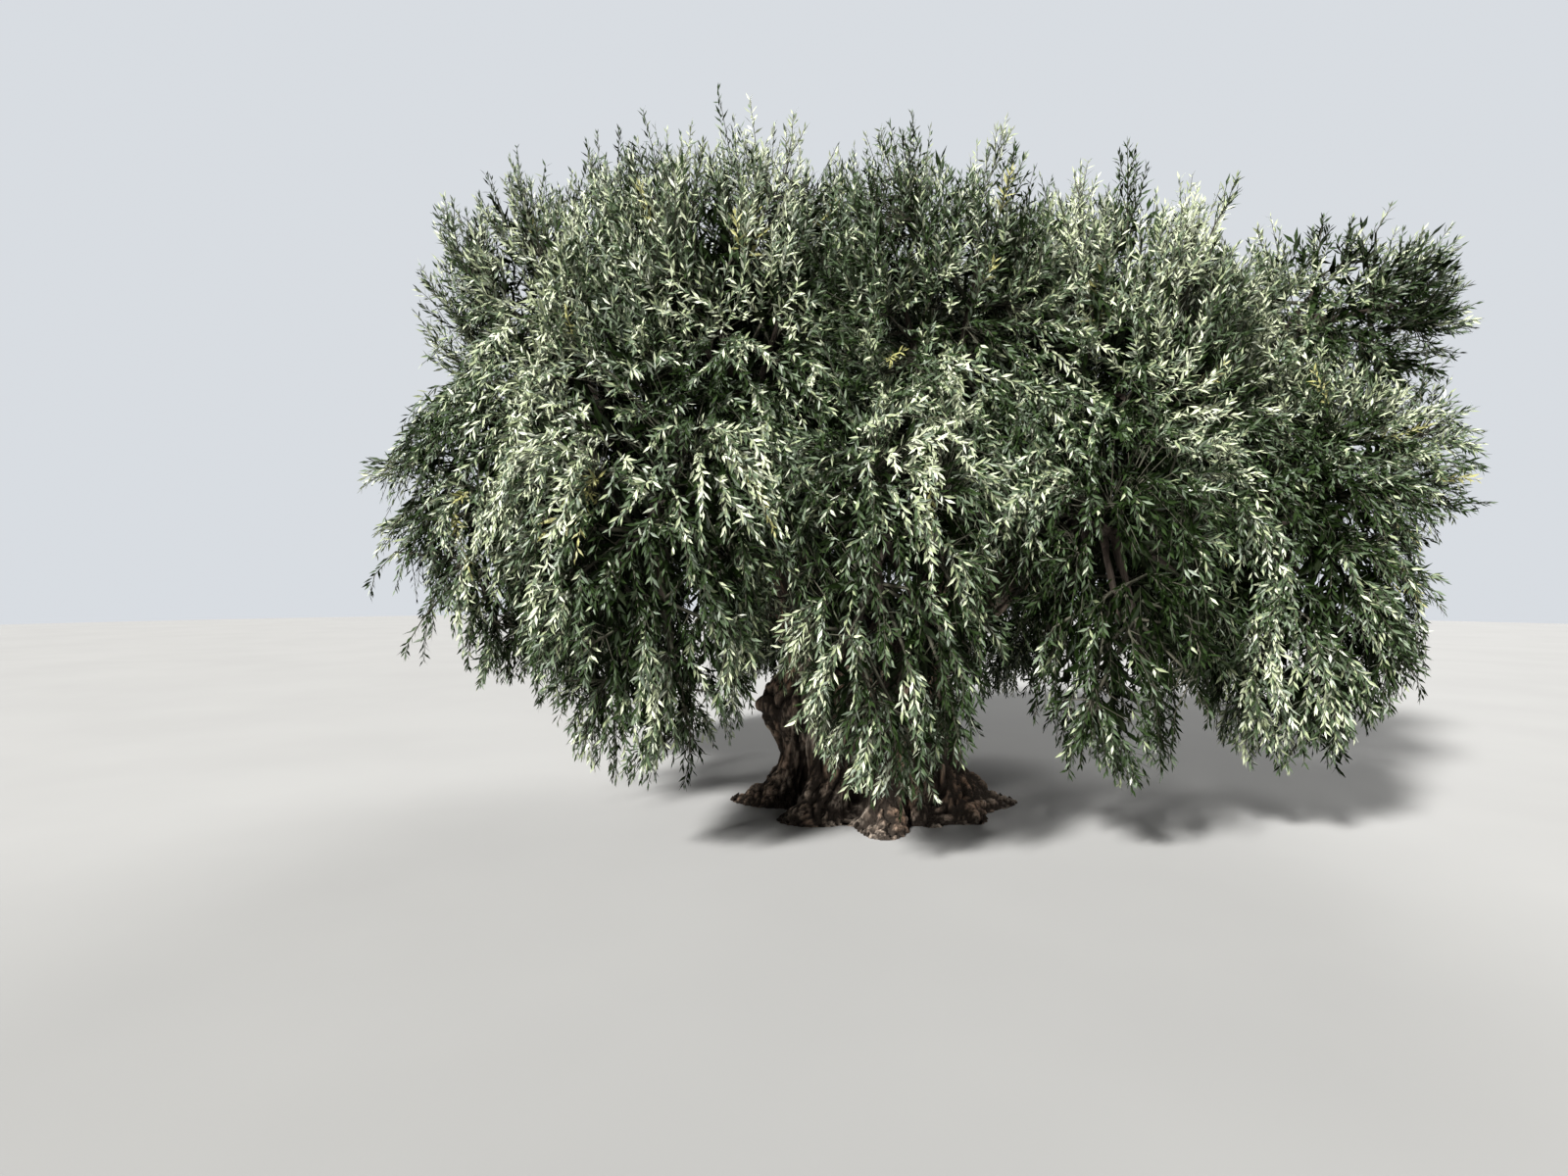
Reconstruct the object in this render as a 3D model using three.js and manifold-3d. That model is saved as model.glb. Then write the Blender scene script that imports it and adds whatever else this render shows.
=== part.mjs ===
// An old, broad olive tree: a squat gnarled trunk, six boughs with three limbs each, and eighteen
// masses of foliage. The lower masses weep almost to the ground, the upper ones stand up in shoots.
// Millimetres. +Z is up, +X is to the right and +Y is away from the viewer. The origin is in the
// middle of the flat cut under the trunk, at ground level.
import * as THREE from "three";
import { mergeVertices } from "three/addons/utils/BufferGeometryUtils.js";
import Module from "manifold-3d";

const wasm = await Module();
wasm.setup();

// Clearances between neighbouring solids.
const SEAT_GAP = 0.3;
const SPACE_GAP = 5;
const LIMB_CLEARANCE = 25;
const LIMB_CUT = 6;

// How far thinning out the triangles may move a fused surface: foliage, and boughs and limbs.
const FOLIAGE_TOLERANCE = 4;
const LIMB_TOLERANCE = 0.1;

// The trunk: waist, flare towards the ground, neck below the fork and a rounded top between the boughs.
const TRUNK_TOP = 1580;
const TRUNK_SIDES = 30;
const TRUNK_RINGS = 13;
const RING_CROWDING = 1.35;
const WAIST_RADIUS = 585;
const FLARE = 215;
const FLARE_FADE = 150;
const NECK_IN = 45;
const NECK_FROM = 550;
const NECK_TO = 1150;
const DOME_FROM = 1230;
const DOME_LEAST = 0.2;
const TRUNK_LEAN = new THREE.Vector2(-85, 25);

// Root ridges: the way each points, in degrees from +X, and how far it stands out at the ground.
// Each carries on up the trunk as a low ridge that turns a little with the height.
const ROOT_FADE = 190;
const ROOT_WIDTH = 0.3;
const RIDGE_OUT = 55;
const RIDGE_WIDTH = 0.22;
const RIDGE_TURN = 0.00025;
const ROOTS = [
  { angle: -92, out: 190 },
  { angle: -45, out: 120 },
  { angle: -8, out: 230 },
  { angle: 42, out: 150 },
  { angle: 88, out: 170 },
  { angle: 136, out: 130 },
  { angle: 184, out: 235 },
  { angle: 226, out: 130 },
];

// Burls: swellings of the trunk, by angle and height, with their half width in radians.
const BURLS = [
  { angle: 182, height: 740, out: 245, width: 0.5, tall: 230 },
  { angle: -62, height: 980, out: 95, width: 0.35, tall: 200 },
  { angle: 20, height: 820, out: 80, width: 0.4, tall: 260 },
  { angle: 100, height: 700, out: 110, width: 0.45, tall: 240 },
];

// The boughs leave the inside of the trunk on a small ring and end in a fork of three limbs.
const BOUGH_RING = 270;
const BOUGH_FOOT = 1130;
const BOUGH_SIDES = 9;
const BOUGH_STEPS = 6;
const BOUGH_FOOT_RADIUS = 235;
const BOUGH_TIP_RADIUS = 118;
const BOUGH_ELBOW = 0.62;
const BOUGH_RISE = 150;
const BOUGHS = [
  { name: "bough_front_left", tip: [-780, -520, 2060] },
  { name: "bough_left", tip: [-1290, 30, 2080] },
  { name: "bough_back_left", tip: [-480, 820, 2110] },
  { name: "bough_back_right", tip: [850, 760, 2080] },
  { name: "bough_right", tip: [1380, -120, 2050] },
  { name: "bough_front_right", tip: [560, -560, 2100] },
];

// Each limb leaves its bough's tip and ends where it enters its mass; the mass's stem goes on from there.
const LIMB_SIDES = 7;
const LIMB_STEPS = 4;
const LIMB_FOOT_RADIUS = 88;
const LIMB_TIP_RADIUS = 52;
const STEM_END_RADIUS = 34;
const STEM_STEPS = 2;
const LIMB_SINK = 70;
const LIMB_ENTRY = 0.97;
const ENTRY_FROM = 0.15;
const ENTRY_TO = 0.9;
const ENTRY_STEP = 0.01;
const SPINE_STEPS = 16;

// The masses of foliage: middle and half size of the space that each one fills, and the way its
// sprays grow. A weeping mass hangs from a stem that arches over into its upper part.
const MASSES = [
  { name: "curtain_front", habit: "weeping", bough: 0, at: [-100, -1660, 1490], half: [640, 500, 1240] },
  { name: "curtain_front_left", habit: "weeping", bough: 0, at: [-1420, -1560, 1670], half: [780, 640, 1230] },
  { name: "crown_front_left", habit: "upright", bough: 0, at: [-1020, -700, 3350], half: [820, 850, 1390] },
  { name: "curtain_left", habit: "weeping", bough: 1, at: [-2480, -900, 1950], half: [800, 800, 1180] },
  { name: "crown_left", habit: "upright", bough: 1, at: [-2240, -430, 3230], half: [920, 880, 1330] },
  { name: "curtain_back_left", habit: "weeping", bough: 1, at: [-2330, 900, 1850], half: [850, 850, 1230] },
  { name: "crown_back_left", habit: "upright", bough: 2, at: [-1700, 980, 3330], half: [1050, 900, 1350] },
  { name: "curtain_back", habit: "weeping", bough: 2, at: [-480, 1960, 1690], half: [1020, 650, 1280] },
  { name: "crown_back", habit: "upright", bough: 2, at: [-130, 1050, 3490], half: [950, 900, 1400] },
  { name: "crown_back_right", habit: "upright", bough: 3, at: [1690, 900, 3300], half: [1130, 900, 1330] },
  { name: "curtain_back_right", habit: "weeping", bough: 3, at: [1500, 1860, 1690], half: [980, 700, 1270] },
  { name: "curtain_far_right", habit: "weeping", bough: 3, at: [2880, 900, 1810], half: [850, 850, 1250] },
  { name: "shelf_right", habit: "spreading", bough: 4, at: [3260, -260, 3600], half: [880, 760, 640] },
  { name: "billow_right", habit: "spreading", bough: 4, at: [3180, -480, 2370], half: [830, 760, 620] },
  { name: "curtain_right", habit: "weeping", bough: 4, at: [2480, -1060, 1530], half: [740, 720, 1160] },
  { name: "crown_front_right", habit: "upright", bough: 5, at: [1580, -640, 3230], half: [840, 840, 1270] },
  { name: "curtain_front_right", habit: "weeping", bough: 5, at: [1210, -1520, 1550], half: [600, 600, 1180] },
  { name: "crown_front", habit: "upright", bough: 5, at: [300, -720, 3330], half: [830, 830, 1390] },
];
const SPACE_POWER = 2.7;
const HEM_POWER = 1.8;
const CLOSED_FROM = 0.95;
const CLOSED_TO = 1.3;

// How each habit grows: how far up the middle of its mass the stem ends, how high the limb arches,
// and the shares of outward and upward growth in its sprays.
const HABITS = {
  weeping: { anchor: 0.3, arch: 260, outward: 0.5, upward: -1.0 },
  upright: { anchor: -0.25, arch: 60, outward: 0.42, upward: 1.0 },
  spreading: { anchor: 0, arch: 120, outward: 1.0, upward: 0.3 },
};

// One mass's branches and twigs. Shares are of the reach from the middle of its space. Most twigs end
// just under the surface of the core; on the side that the mass grows to, every second one stands out.
const BRANCHES = 5;
const BRANCH_FROM = 0.45;
const BRANCH_END = 0.5;
const BRANCH_RADII = [30, 18];
const SPRAYS = 31;
const LONG_EVERY = 2;
const LONG_FROM = 0.1;
const SPRAY_CLOSED = 0.4;
const SPRAY_TURN = 1.7;
const TWIG_FOOT = 0.7;
const TWIG_END = 0.62;
const LONG_TWIG_END = 0.78;
const TWIG_RADII = [16, 11];
const CORE_SHARE = 0.66;
const CORE_TOUCH = 0.9;
const CORE_TAPER = 0.04;
const CORE_ROUGHNESS = 0.2;
const GOLDEN_ANGLE = Math.PI * (3 - Math.sqrt(5));

// A spray of leaves stands as one blade.
const SPRAY_LENGTH = 640;
const SPRAY_SHORTEST = 0.8;
const SPRAY_SPREAD = 0.3;
const SPRAY_SHORTENING = 0.94;
const SPRAY_LEAST = 160;
const SPRAY_WIDTH = 0.37;
const SPRAY_THICKNESS = 0.11;
const SPRAY_BELLY = 0.45;
const SPRAY_SINK = 0.16;
const SPRAY_SCATTER = 0.35;
const SPRAY_LEAST_OUTWARD = 0.4;

const bark = new THREE.MeshStandardMaterial({ color: 0x5b5148, roughness: 0.95, metalness: 0 });
const foliage = new THREE.MeshStandardMaterial({ color: 0x5d6b47, roughness: 0.7, metalness: 0 });

const UP = new THREE.Vector3(0, 0, 1);
const vector = (values) => new THREE.Vector3(...values);
const radians = THREE.MathUtils.degToRad;
const { lerp, smoothstep } = THREE.MathUtils;

// A repeatable series of draws between 0 and 1.
function seededDraws(seed) {
  let state = seed;
  return () => {
    state = (state * 1664525 + 1013904223) % 4294967296;
    return state / 4294967296;
  };
}

function solidOf(geometry) {
  const bare = geometry.index ? geometry.toNonIndexed() : geometry.clone();
  bare.deleteAttribute("normal");
  bare.deleteAttribute("uv");
  const merged = mergeVertices(bare, 1e-3);
  return new wasm.Manifold(
    new wasm.Mesh({
      numProp: 3,
      vertProperties: merged.attributes.position.array,
      triVerts: new Uint32Array(merged.index.array),
    }),
  );
}

// The largest piece of a solid: the scraps that a cut leaves behind are dropped.
function largestOf(solid) {
  return solid.decompose().reduce((best, piece) => (piece.volume() > best.volume() ? piece : best));
}

// Whether two triangles meet at every edge, once vertices that lie at one place are joined.
function edgesPaired(solid) {
  const { vertProperties, triVerts } = solid.getMesh();
  const place = (vertex) => vertProperties.subarray(3 * vertex, 3 * vertex + 3).join();
  const uses = new Map();
  triVerts.forEach((vertex, i) => {
    const next = triVerts[i % 3 === 2 ? i - 2 : i + 1];
    const edge = [place(vertex), place(next)].sort().join(" to ");
    uses.set(edge, (uses.get(edge) ?? 0) + 1);
  });
  return [...uses.values()].every((count) => count === 2);
}

// One body with as few triangles as stay within a distance of the solid's surface. Where that makes
// the surface touch itself, half the distance is tried.
function thinned(solid, tolerance) {
  const body = largestOf(largestOf(solid).asOriginal().simplify(tolerance));
  return edgesPaired(body) ? body : thinned(solid, tolerance / 2);
}

function meshOf(solid, name, material) {
  const { numProp, vertProperties, triVerts } = solid.getMesh();
  const positions = new Float32Array((vertProperties.length / numProp) * 3);
  for (let i = 0; i < positions.length / 3; i++)
    positions.set(vertProperties.subarray(i * numProp, i * numProp + 3), i * 3);
  const geometry = new THREE.BufferGeometry();
  geometry.setAttribute("position", new THREE.BufferAttribute(positions, 3));
  geometry.setIndex(new THREE.BufferAttribute(triVerts, 1));
  geometry.computeVertexNormals();
  const mesh = new THREE.Mesh(geometry, material);
  mesh.name = name;
  return mesh;
}

// Moves every vertex of a geometry to where place(x, y, z) says.
function reshape(geometry, place) {
  const position = geometry.attributes.position;
  for (let i = 0; i < position.count; i++) {
    const p = place(position.getX(i), position.getY(i), position.getZ(i));
    position.setXYZ(i, p.x, p.y, p.z);
  }
  return geometry;
}

// Bell-shaped fall-off, 1 in the middle.
const bell = (distance, width) => Math.exp(-((distance / width) ** 2));

function angleBetween(a, b) {
  return Math.abs(THREE.MathUtils.euclideanModulo(a - b + Math.PI, 2 * Math.PI) - Math.PI);
}

function trunkRadius(angle, height) {
  let radius = WAIST_RADIUS - NECK_IN * smoothstep(height, NECK_FROM, NECK_TO);
  radius += FLARE * Math.exp(-height / FLARE_FADE);
  for (const root of ROOTS) {
    const off = angleBetween(angle, radians(root.angle));
    const turned = angleBetween(angle, radians(root.angle) + RIDGE_TURN * height);
    const flared = root.out * Math.exp(-height / ROOT_FADE) * bell(off, ROOT_WIDTH);
    radius += flared + RIDGE_OUT * bell(turned, RIDGE_WIDTH);
  }
  for (const burl of BURLS) {
    const across = bell(angleBetween(angle, radians(burl.angle)), burl.width);
    radius += burl.out * across * bell(height - burl.height, burl.tall);
  }
  const dome = Math.max(0, (height - DOME_FROM) / (TRUNK_TOP - DOME_FROM));
  return radius * Math.max(DOME_LEAST, Math.sqrt(Math.max(0, 1 - dome * dome)));
}

function trunkSolid(grow) {
  const post = new THREE.CylinderGeometry(1, 1, 1, TRUNK_SIDES, TRUNK_RINGS);
  return solidOf(
    reshape(post, (x, y, z) => {
      const height = TRUNK_TOP * (y + 0.5) ** RING_CROWDING;
      const out = Math.hypot(x, z) * (trunkRadius(Math.atan2(-z, x), height) + grow);
      const angle = Math.atan2(-z, x);
      const lean = height / TRUNK_TOP;
      const top = y > 0.49 ? grow : 0;
      return new THREE.Vector3(
        lean * TRUNK_LEAN.x + out * Math.cos(angle),
        lean * TRUNK_LEAN.y + out * Math.sin(angle),
        height + top,
      );
    }),
  );
}

// A round limb that tapers along a stretch of a curve, thicker by grow all over.
function limbSolid({ curve, from = 0, to = 1, radii, sides, steps, start = 0 }, grow = 0) {
  const whole = curve.getPoint(to).sub(curve.getPoint(from));
  const across = new THREE.Vector3().crossVectors(whole, UP);
  if (across.lengthSq() < 1) across.set(1, 0, 0);
  return solidOf(
    reshape(new THREE.CylinderGeometry(1, 1, 1, sides, steps), (x, y, z) => {
      const share = y + 0.5;
      const along = curve.getTangent(lerp(from, to, share));
      const first = across.clone().addScaledVector(along, -across.dot(along)).normalize();
      const second = new THREE.Vector3().crossVectors(first, along);
      const radius = lerp(radii[0], radii[1], share) + grow;
      let shift = 0;
      if (share < 0.01) shift = start - grow;
      if (share > 0.99) shift = grow;
      return curve
        .getPoint(lerp(from, to, share))
        .addScaledVector(along, shift)
        .addScaledVector(first, x * radius)
        .addScaledVector(second, z * radius);
    }),
  );
}

// How far a mass's own rounded box reaches from its middle, in one direction. A weeping mass narrows
// towards its hem.
function boxReach(mass, direction) {
  const { x, y, z } = direction;
  const across = Math.abs(x / mass.half[0]) ** SPACE_POWER + Math.abs(y / mass.half[1]) ** SPACE_POWER;
  const flat = across ** (1 / SPACE_POWER);
  const power = mass.habit === "weeping" && z < 0 ? HEM_POWER : SPACE_POWER;
  return (flat ** power + Math.abs(z / mass.half[2]) ** power) ** (-1 / power);
}

// The planes that part a mass's space from its neighbours' spaces, each shared out by their sizes.
function partingPlanes(mass, masses) {
  return masses
    .filter((other) => other !== mass)
    .map((other) => {
      const normal = other.middle.clone().sub(mass.middle);
      const apart = normal.length();
      normal.normalize();
      const mine = boxReach(mass, normal);
      const theirs = boxReach(other, normal);
      return { normal, distance: (apart * mine) / (mine + theirs) - SPACE_GAP };
    });
}

// How far it is from a mass's middle to its nearest parting plane in one direction.
function planeReach(mass, direction) {
  let reach = Infinity;
  for (const { normal, distance } of mass.planes) {
    const facing = normal.dot(direction);
    if (facing > 1e-6) reach = Math.min(reach, distance / facing);
  }
  return reach;
}

// How much a neighbour closes in a mass on one side: 0 where it is open, 1 where they are packed together.
function closedIn(mass, direction) {
  return smoothstep(boxReach(mass, direction) / planeReach(mass, direction), CLOSED_FROM, CLOSED_TO);
}

// How far a mass's space reaches from its middle in one direction, box and parting planes together.
function reachOf(mass, direction) {
  return Math.min(boxReach(mass, direction), planeReach(mass, direction));
}

// How far out a point is in a mass's space: 0 in the middle, 1 on the surface.
function depthIn(mass, point) {
  const offset = point.clone().sub(mass.middle);
  const length = offset.length();
  if (length < 1e-6) return 0;
  return length / reachOf(mass, offset.divideScalar(length));
}

// The point at a share of the reach in one direction.
function pointIn(mass, direction, share) {
  return mass.middle.clone().addScaledVector(direction, share * reachOf(mass, direction));
}

// Directions spread evenly over the sphere.
function spreadDirection(index, count, turn) {
  const z = 1 - (2 * index + 1) / count;
  const flat = Math.sqrt(1 - z * z);
  const angle = index * GOLDEN_ANGLE + turn;
  return new THREE.Vector3(flat * Math.cos(angle), flat * Math.sin(angle), z);
}

function boughCurve({ tip }) {
  const end = vector(tip);
  const side = new THREE.Vector3(end.x, end.y, 0).normalize();
  const foot = side.clone().multiplyScalar(BOUGH_RING).setZ(BOUGH_FOOT);
  const elbow = foot.clone().lerp(end, BOUGH_ELBOW).addScaledVector(UP, -BOUGH_RISE);
  return new THREE.QuadraticBezierCurve3(foot, elbow, end);
}

// The curve of a mass's limb and stem: out of the bough's tip, over an arch and into the mass.
function limbCurve(mass, bough) {
  const { anchor, arch } = HABITS[mass.habit];
  const end = mass.middle.clone().addScaledVector(UP, anchor * mass.half[2]);
  const along = bough.curve.getTangent(1);
  const foot = bough.curve.getPoint(1).addScaledVector(along, -LIMB_SINK);
  const crest = foot.clone().lerp(end, 0.5).addScaledVector(UP, arch);
  return new THREE.QuadraticBezierCurve3(foot, crest, end);
}

// The share of the curve at which a limb enters its mass.
function entryShare(mass, curve) {
  let share = ENTRY_FROM;
  while (share < ENTRY_TO && depthIn(mass, curve.getPoint(share)) > LIMB_ENTRY) share += ENTRY_STEP;
  return share;
}

// Points along a limb with its radius there, for keeping leaves and twigs off it.
function spineOf({ curve, from = 0, to = 1, radii }) {
  return Array.from({ length: SPINE_STEPS + 1 }, (_, i) => ({
    point: curve.getPoint(lerp(from, to, i / SPINE_STEPS)),
    radius: lerp(radii[0], radii[1], i / SPINE_STEPS),
  }));
}

// Whether a straight piece of some half width stays clear of every limb.
function clearOfLimbs(from, to, halfWidth, spines) {
  const samples = [0, 0.25, 0.5, 0.75, 1].map((share) => from.clone().lerp(to, share));
  return spines.every((spine) =>
    spine.every(({ point, radius }) =>
      samples.every((sample) => sample.distanceTo(point) > radius + halfWidth + LIMB_CLEARANCE),
    ),
  );
}

// A three-sided twig between two points.
function twigSolid(from, to, radii) {
  return limbSolid({ curve: new THREE.LineCurve3(from, to), radii, sides: 3, steps: 1 });
}

// One spray as a thin pointed blade that lies across the outward direction, its root sunk behind its base.
function spraySolid(base, tip, outward) {
  const root = base.clone().lerp(tip, -SPRAY_SINK);
  const along = tip.clone().sub(root);
  const length = along.length();
  along.divideScalar(length);
  const side = new THREE.Vector3().crossVectors(along, outward).normalize();
  const face = new THREE.Vector3().crossVectors(along, side);
  return solidOf(
    reshape(new THREE.OctahedronGeometry(1), (x, y, z) => {
      const share = x < -0.5 ? 0 : x > 0.5 ? 1 : SPRAY_BELLY;
      return root
        .clone()
        .addScaledVector(along, share * length)
        .addScaledVector(side, (y * SPRAY_WIDTH * length) / 2)
        .addScaledVector(face, (z * SPRAY_THICKNESS * length) / 2);
    }),
  );
}

// The dense middle of a mass: rough, smaller than its space, but close up to its neighbours.
function coreSolid(mass, draw) {
  const shares = new Map();
  return solidOf(
    reshape(new THREE.IcosahedronGeometry(1, 1), (x, y, z) => {
      const key = [x, y, z].map((value) => Math.round(value * 100)).join();
      if (!shares.has(key)) shares.set(key, 1 + CORE_ROUGHNESS * (draw() - 0.5));
      const direction = new THREE.Vector3(x, y, z).normalize();
      const open = CORE_SHARE - CORE_TAPER * Math.max(0, z * HABITS[mass.habit].upward);
      return pointIn(mass, direction, lerp(open * shares.get(key), CORE_TOUCH, closedIn(mass, direction)));
    }),
  );
}

// Where a spray that starts at base and grows by its mass's habit ends, or null where there is no room.
function sprayTip(mass, base, outward, draw) {
  const habit = HABITS[mass.habit];
  const heading = outward.clone().multiplyScalar(habit.outward).addScaledVector(UP, habit.upward);
  heading.x += SPRAY_SCATTER * (2 * draw() - 1);
  heading.y += SPRAY_SCATTER * (2 * draw() - 1);
  heading.normalize();
  heading.addScaledVector(outward, Math.max(0, SPRAY_LEAST_OUTWARD - heading.dot(outward))).normalize();
  const tipAt = (reach) => base.clone().addScaledVector(heading, reach);
  let length = SPRAY_LENGTH * (SPRAY_SHORTEST + SPRAY_SPREAD * draw());
  while (length >= SPRAY_LEAST && depthIn(mass, tipAt(length)) > 1) length *= SPRAY_SHORTENING;
  return length < SPRAY_LEAST ? null : tipAt(length);
}

// Whether the four corners of a spray's belly are inside the space too.
function sprayFits(mass, base, tip, outward) {
  const along = tip.clone().sub(base);
  const side = new THREE.Vector3().crossVectors(along, outward).setLength((SPRAY_WIDTH * along.length()) / 2);
  const belly = base.clone().addScaledVector(along, SPRAY_BELLY);
  return depthIn(mass, belly.clone().add(side)) < 1 && depthIn(mass, belly.clone().sub(side)) < 1;
}

// A mass of foliage: its stem, branches, twigs and sprays round a rough core, all fused.
function massSolid(mass, spines) {
  const draw = seededDraws(mass.seed);
  const { curve, entry } = mass;
  const foreign = spines.filter((spine) => spine !== mass.spine);
  const stem = limbSolid({
    curve,
    from: entry,
    radii: [LIMB_TIP_RADIUS, STEM_END_RADIUS],
    sides: LIMB_SIDES,
    steps: STEM_STEPS,
    start: SEAT_GAP,
  });
  const pieces = [coreSolid(mass, draw)];
  const turn = draw() * 2 * Math.PI;
  const branches = [];
  for (let i = 0; i < BRANCHES; i++) {
    const direction = spreadDirection(i, BRANCHES, turn);
    const foot = curve.getPoint(lerp(entry, 1, BRANCH_FROM + ((1 - BRANCH_FROM) * i) / (BRANCHES - 1)));
    const end = pointIn(mass, direction, BRANCH_END);
    branches.push({ direction, foot, end });
    if (clearOfLimbs(foot, end, BRANCH_RADII[0], foreign)) pieces.push(twigSolid(foot, end, BRANCH_RADII));
  }
  for (let i = 0; i < SPRAYS; i++) {
    const direction = spreadDirection(i, SPRAYS, turn * SPRAY_TURN);
    if (closedIn(mass, direction) > SPRAY_CLOSED) continue;
    const parent = branches.reduce((best, branch) =>
      branch.direction.dot(direction) > best.direction.dot(direction) ? branch : best,
    );
    const foot = parent.foot.clone().lerp(parent.end, TWIG_FOOT);
    const long = i % LONG_EVERY === 0 && direction.z * HABITS[mass.habit].upward > LONG_FROM;
    const base = pointIn(mass, direction, long ? LONG_TWIG_END : TWIG_END);
    const tip = sprayTip(mass, base, direction, draw);
    if (!tip || !sprayFits(mass, base, tip, direction)) continue;
    const halfWidth = (SPRAY_WIDTH * base.distanceTo(tip)) / 2;
    if (!clearOfLimbs(foot, base, TWIG_RADII[0], spines)) continue;
    if (!clearOfLimbs(base, tip, halfWidth, spines)) continue;
    pieces.push(twigSolid(foot, base, TWIG_RADII), spraySolid(base, tip, direction));
  }
  return wasm.Manifold.union(pieces).subtract(limbSolid(mass.limb, LIMB_CUT)).add(stem);
}

// Cuts a limb clear of what it grows out of and of its neighbours at the same fork.
function cutClear(limb, others) {
  const cut = others.reduce((solid, other) => solid.subtract(limbOrTrunk(other, SEAT_GAP)), limbSolid(limb));
  return thinned(cut, LIMB_TOLERANCE);
}

function limbOrTrunk(item, grow) {
  return item === "trunk" ? trunkSolid(grow) : limbSolid(item, grow);
}

const tree = new THREE.Group();
tree.add(meshOf(trunkSolid(0), "trunk", bark));

const boughs = BOUGHS.map((row) => ({
  ...row,
  curve: boughCurve(row),
  radii: [BOUGH_FOOT_RADIUS, BOUGH_TIP_RADIUS],
  sides: BOUGH_SIDES,
  steps: BOUGH_STEPS,
}));
boughs.forEach((bough, i) => {
  tree.add(meshOf(cutClear(bough, ["trunk", ...boughs.slice(0, i)]), bough.name, bark));
});

const masses = MASSES.map((row, i) => ({ ...row, middle: vector(row.at), seed: 7919 * (i + 1) }));
for (const mass of masses) mass.planes = partingPlanes(mass, masses);
for (const mass of masses) {
  mass.curve = limbCurve(mass, boughs[mass.bough]);
  mass.entry = entryShare(mass, mass.curve);
  mass.limb = {
    curve: mass.curve,
    to: mass.entry,
    radii: [LIMB_FOOT_RADIUS, LIMB_TIP_RADIUS],
    sides: LIMB_SIDES,
    steps: LIMB_STEPS,
  };
  mass.spine = spineOf(mass.limb);
}
masses.forEach((mass, i) => {
  const siblings = masses.slice(0, i).filter((other) => other.bough === mass.bough);
  const others = ["trunk", ...boughs, ...siblings.map((other) => other.limb)];
  tree.add(meshOf(cutClear(mass.limb, others), `limb_${mass.name}`, bark));
});

const spines = [...masses.map((mass) => mass.spine), ...boughs.map(spineOf)];
for (const mass of masses) {
  const limbs = [...masses.filter((other) => other !== mass).map((other) => other.limb), ...boughs];
  const whole = massSolid(mass, spines);
  const solid = limbs.reduce((rest, limb) => rest.subtract(limbSolid(limb, LIMB_CUT)), whole);
  tree.add(meshOf(thinned(solid, FOLIAGE_TOLERANCE), mass.name, foliage));
}

export default tree;
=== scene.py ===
"""An old, broad olive tree: a squat gnarled trunk, six boughs with three limbs each, and a dense
crown of narrow leaves. The lower masses of foliage weep almost to the ground, the upper ones stand
up in shoots. Metres. +Z is up, +X is to the right and +Y is away from the viewer.

The crown grows by the same rule as the solids that it replaces: each mass has a stem, five
branches, and twigs that end in sprays. Here every spray is a plume of leafy shoots, and finer
shoots grow from the twigs between them."""
import math

import bpy
import numpy as np
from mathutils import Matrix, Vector, kdtree, noise


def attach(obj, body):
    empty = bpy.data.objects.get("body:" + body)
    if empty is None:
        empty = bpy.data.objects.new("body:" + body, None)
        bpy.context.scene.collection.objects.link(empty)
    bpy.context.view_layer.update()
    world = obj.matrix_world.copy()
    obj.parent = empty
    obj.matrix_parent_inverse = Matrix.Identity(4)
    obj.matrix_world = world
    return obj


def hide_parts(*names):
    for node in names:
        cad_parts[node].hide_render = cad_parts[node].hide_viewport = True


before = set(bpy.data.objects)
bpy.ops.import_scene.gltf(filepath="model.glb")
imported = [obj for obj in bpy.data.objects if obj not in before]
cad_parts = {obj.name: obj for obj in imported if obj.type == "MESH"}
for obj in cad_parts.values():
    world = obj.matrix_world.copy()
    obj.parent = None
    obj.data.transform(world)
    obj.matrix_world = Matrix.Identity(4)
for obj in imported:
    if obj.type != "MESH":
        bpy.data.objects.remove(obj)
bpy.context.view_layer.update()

UP = np.array((0.0, 0.0, 1.0))
GOLDEN_ANGLE = math.pi * (3 - math.sqrt(5))

# The trunk: waist, flare towards the ground, neck below the fork and a rounded top between the boughs.
TRUNK_TOP = 1.58
TRUNK_SIDES = 150
TRUNK_RINGS = 110
WAIST_RADIUS = 0.585
FLARE = 0.215
FLARE_FADE = 0.15
NECK_IN = 0.045
NECK_FROM = 0.55
NECK_TO = 1.15
DOME_FROM = 1.23
DOME_LEAST = 0.2
TRUNK_LEAN = np.array((-0.085, 0.025))

# Root ridges: the way each points, in degrees from +X, and how far it stands out at the ground.
# Each carries on up the trunk as a low ridge that turns a little with the height.
ROOT_FADE = 0.19
ROOT_WIDTH = 0.3
RIDGE_OUT = 0.055
RIDGE_WIDTH = 0.22
RIDGE_TURN = 0.25
ROOTS = ((-92, 0.19), (-45, 0.12), (-8, 0.23), (42, 0.15), (88, 0.17), (136, 0.13), (184, 0.235), (226, 0.13))

# Burls: swellings of the trunk, as angle, height, how far out, half width in radians, and half height.
BURLS = ((182, 0.74, 0.245, 0.5, 0.23), (-62, 0.98, 0.095, 0.35, 0.2), (20, 0.82, 0.08, 0.4, 0.26),
         (100, 0.7, 0.11, 0.45, 0.24))

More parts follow.
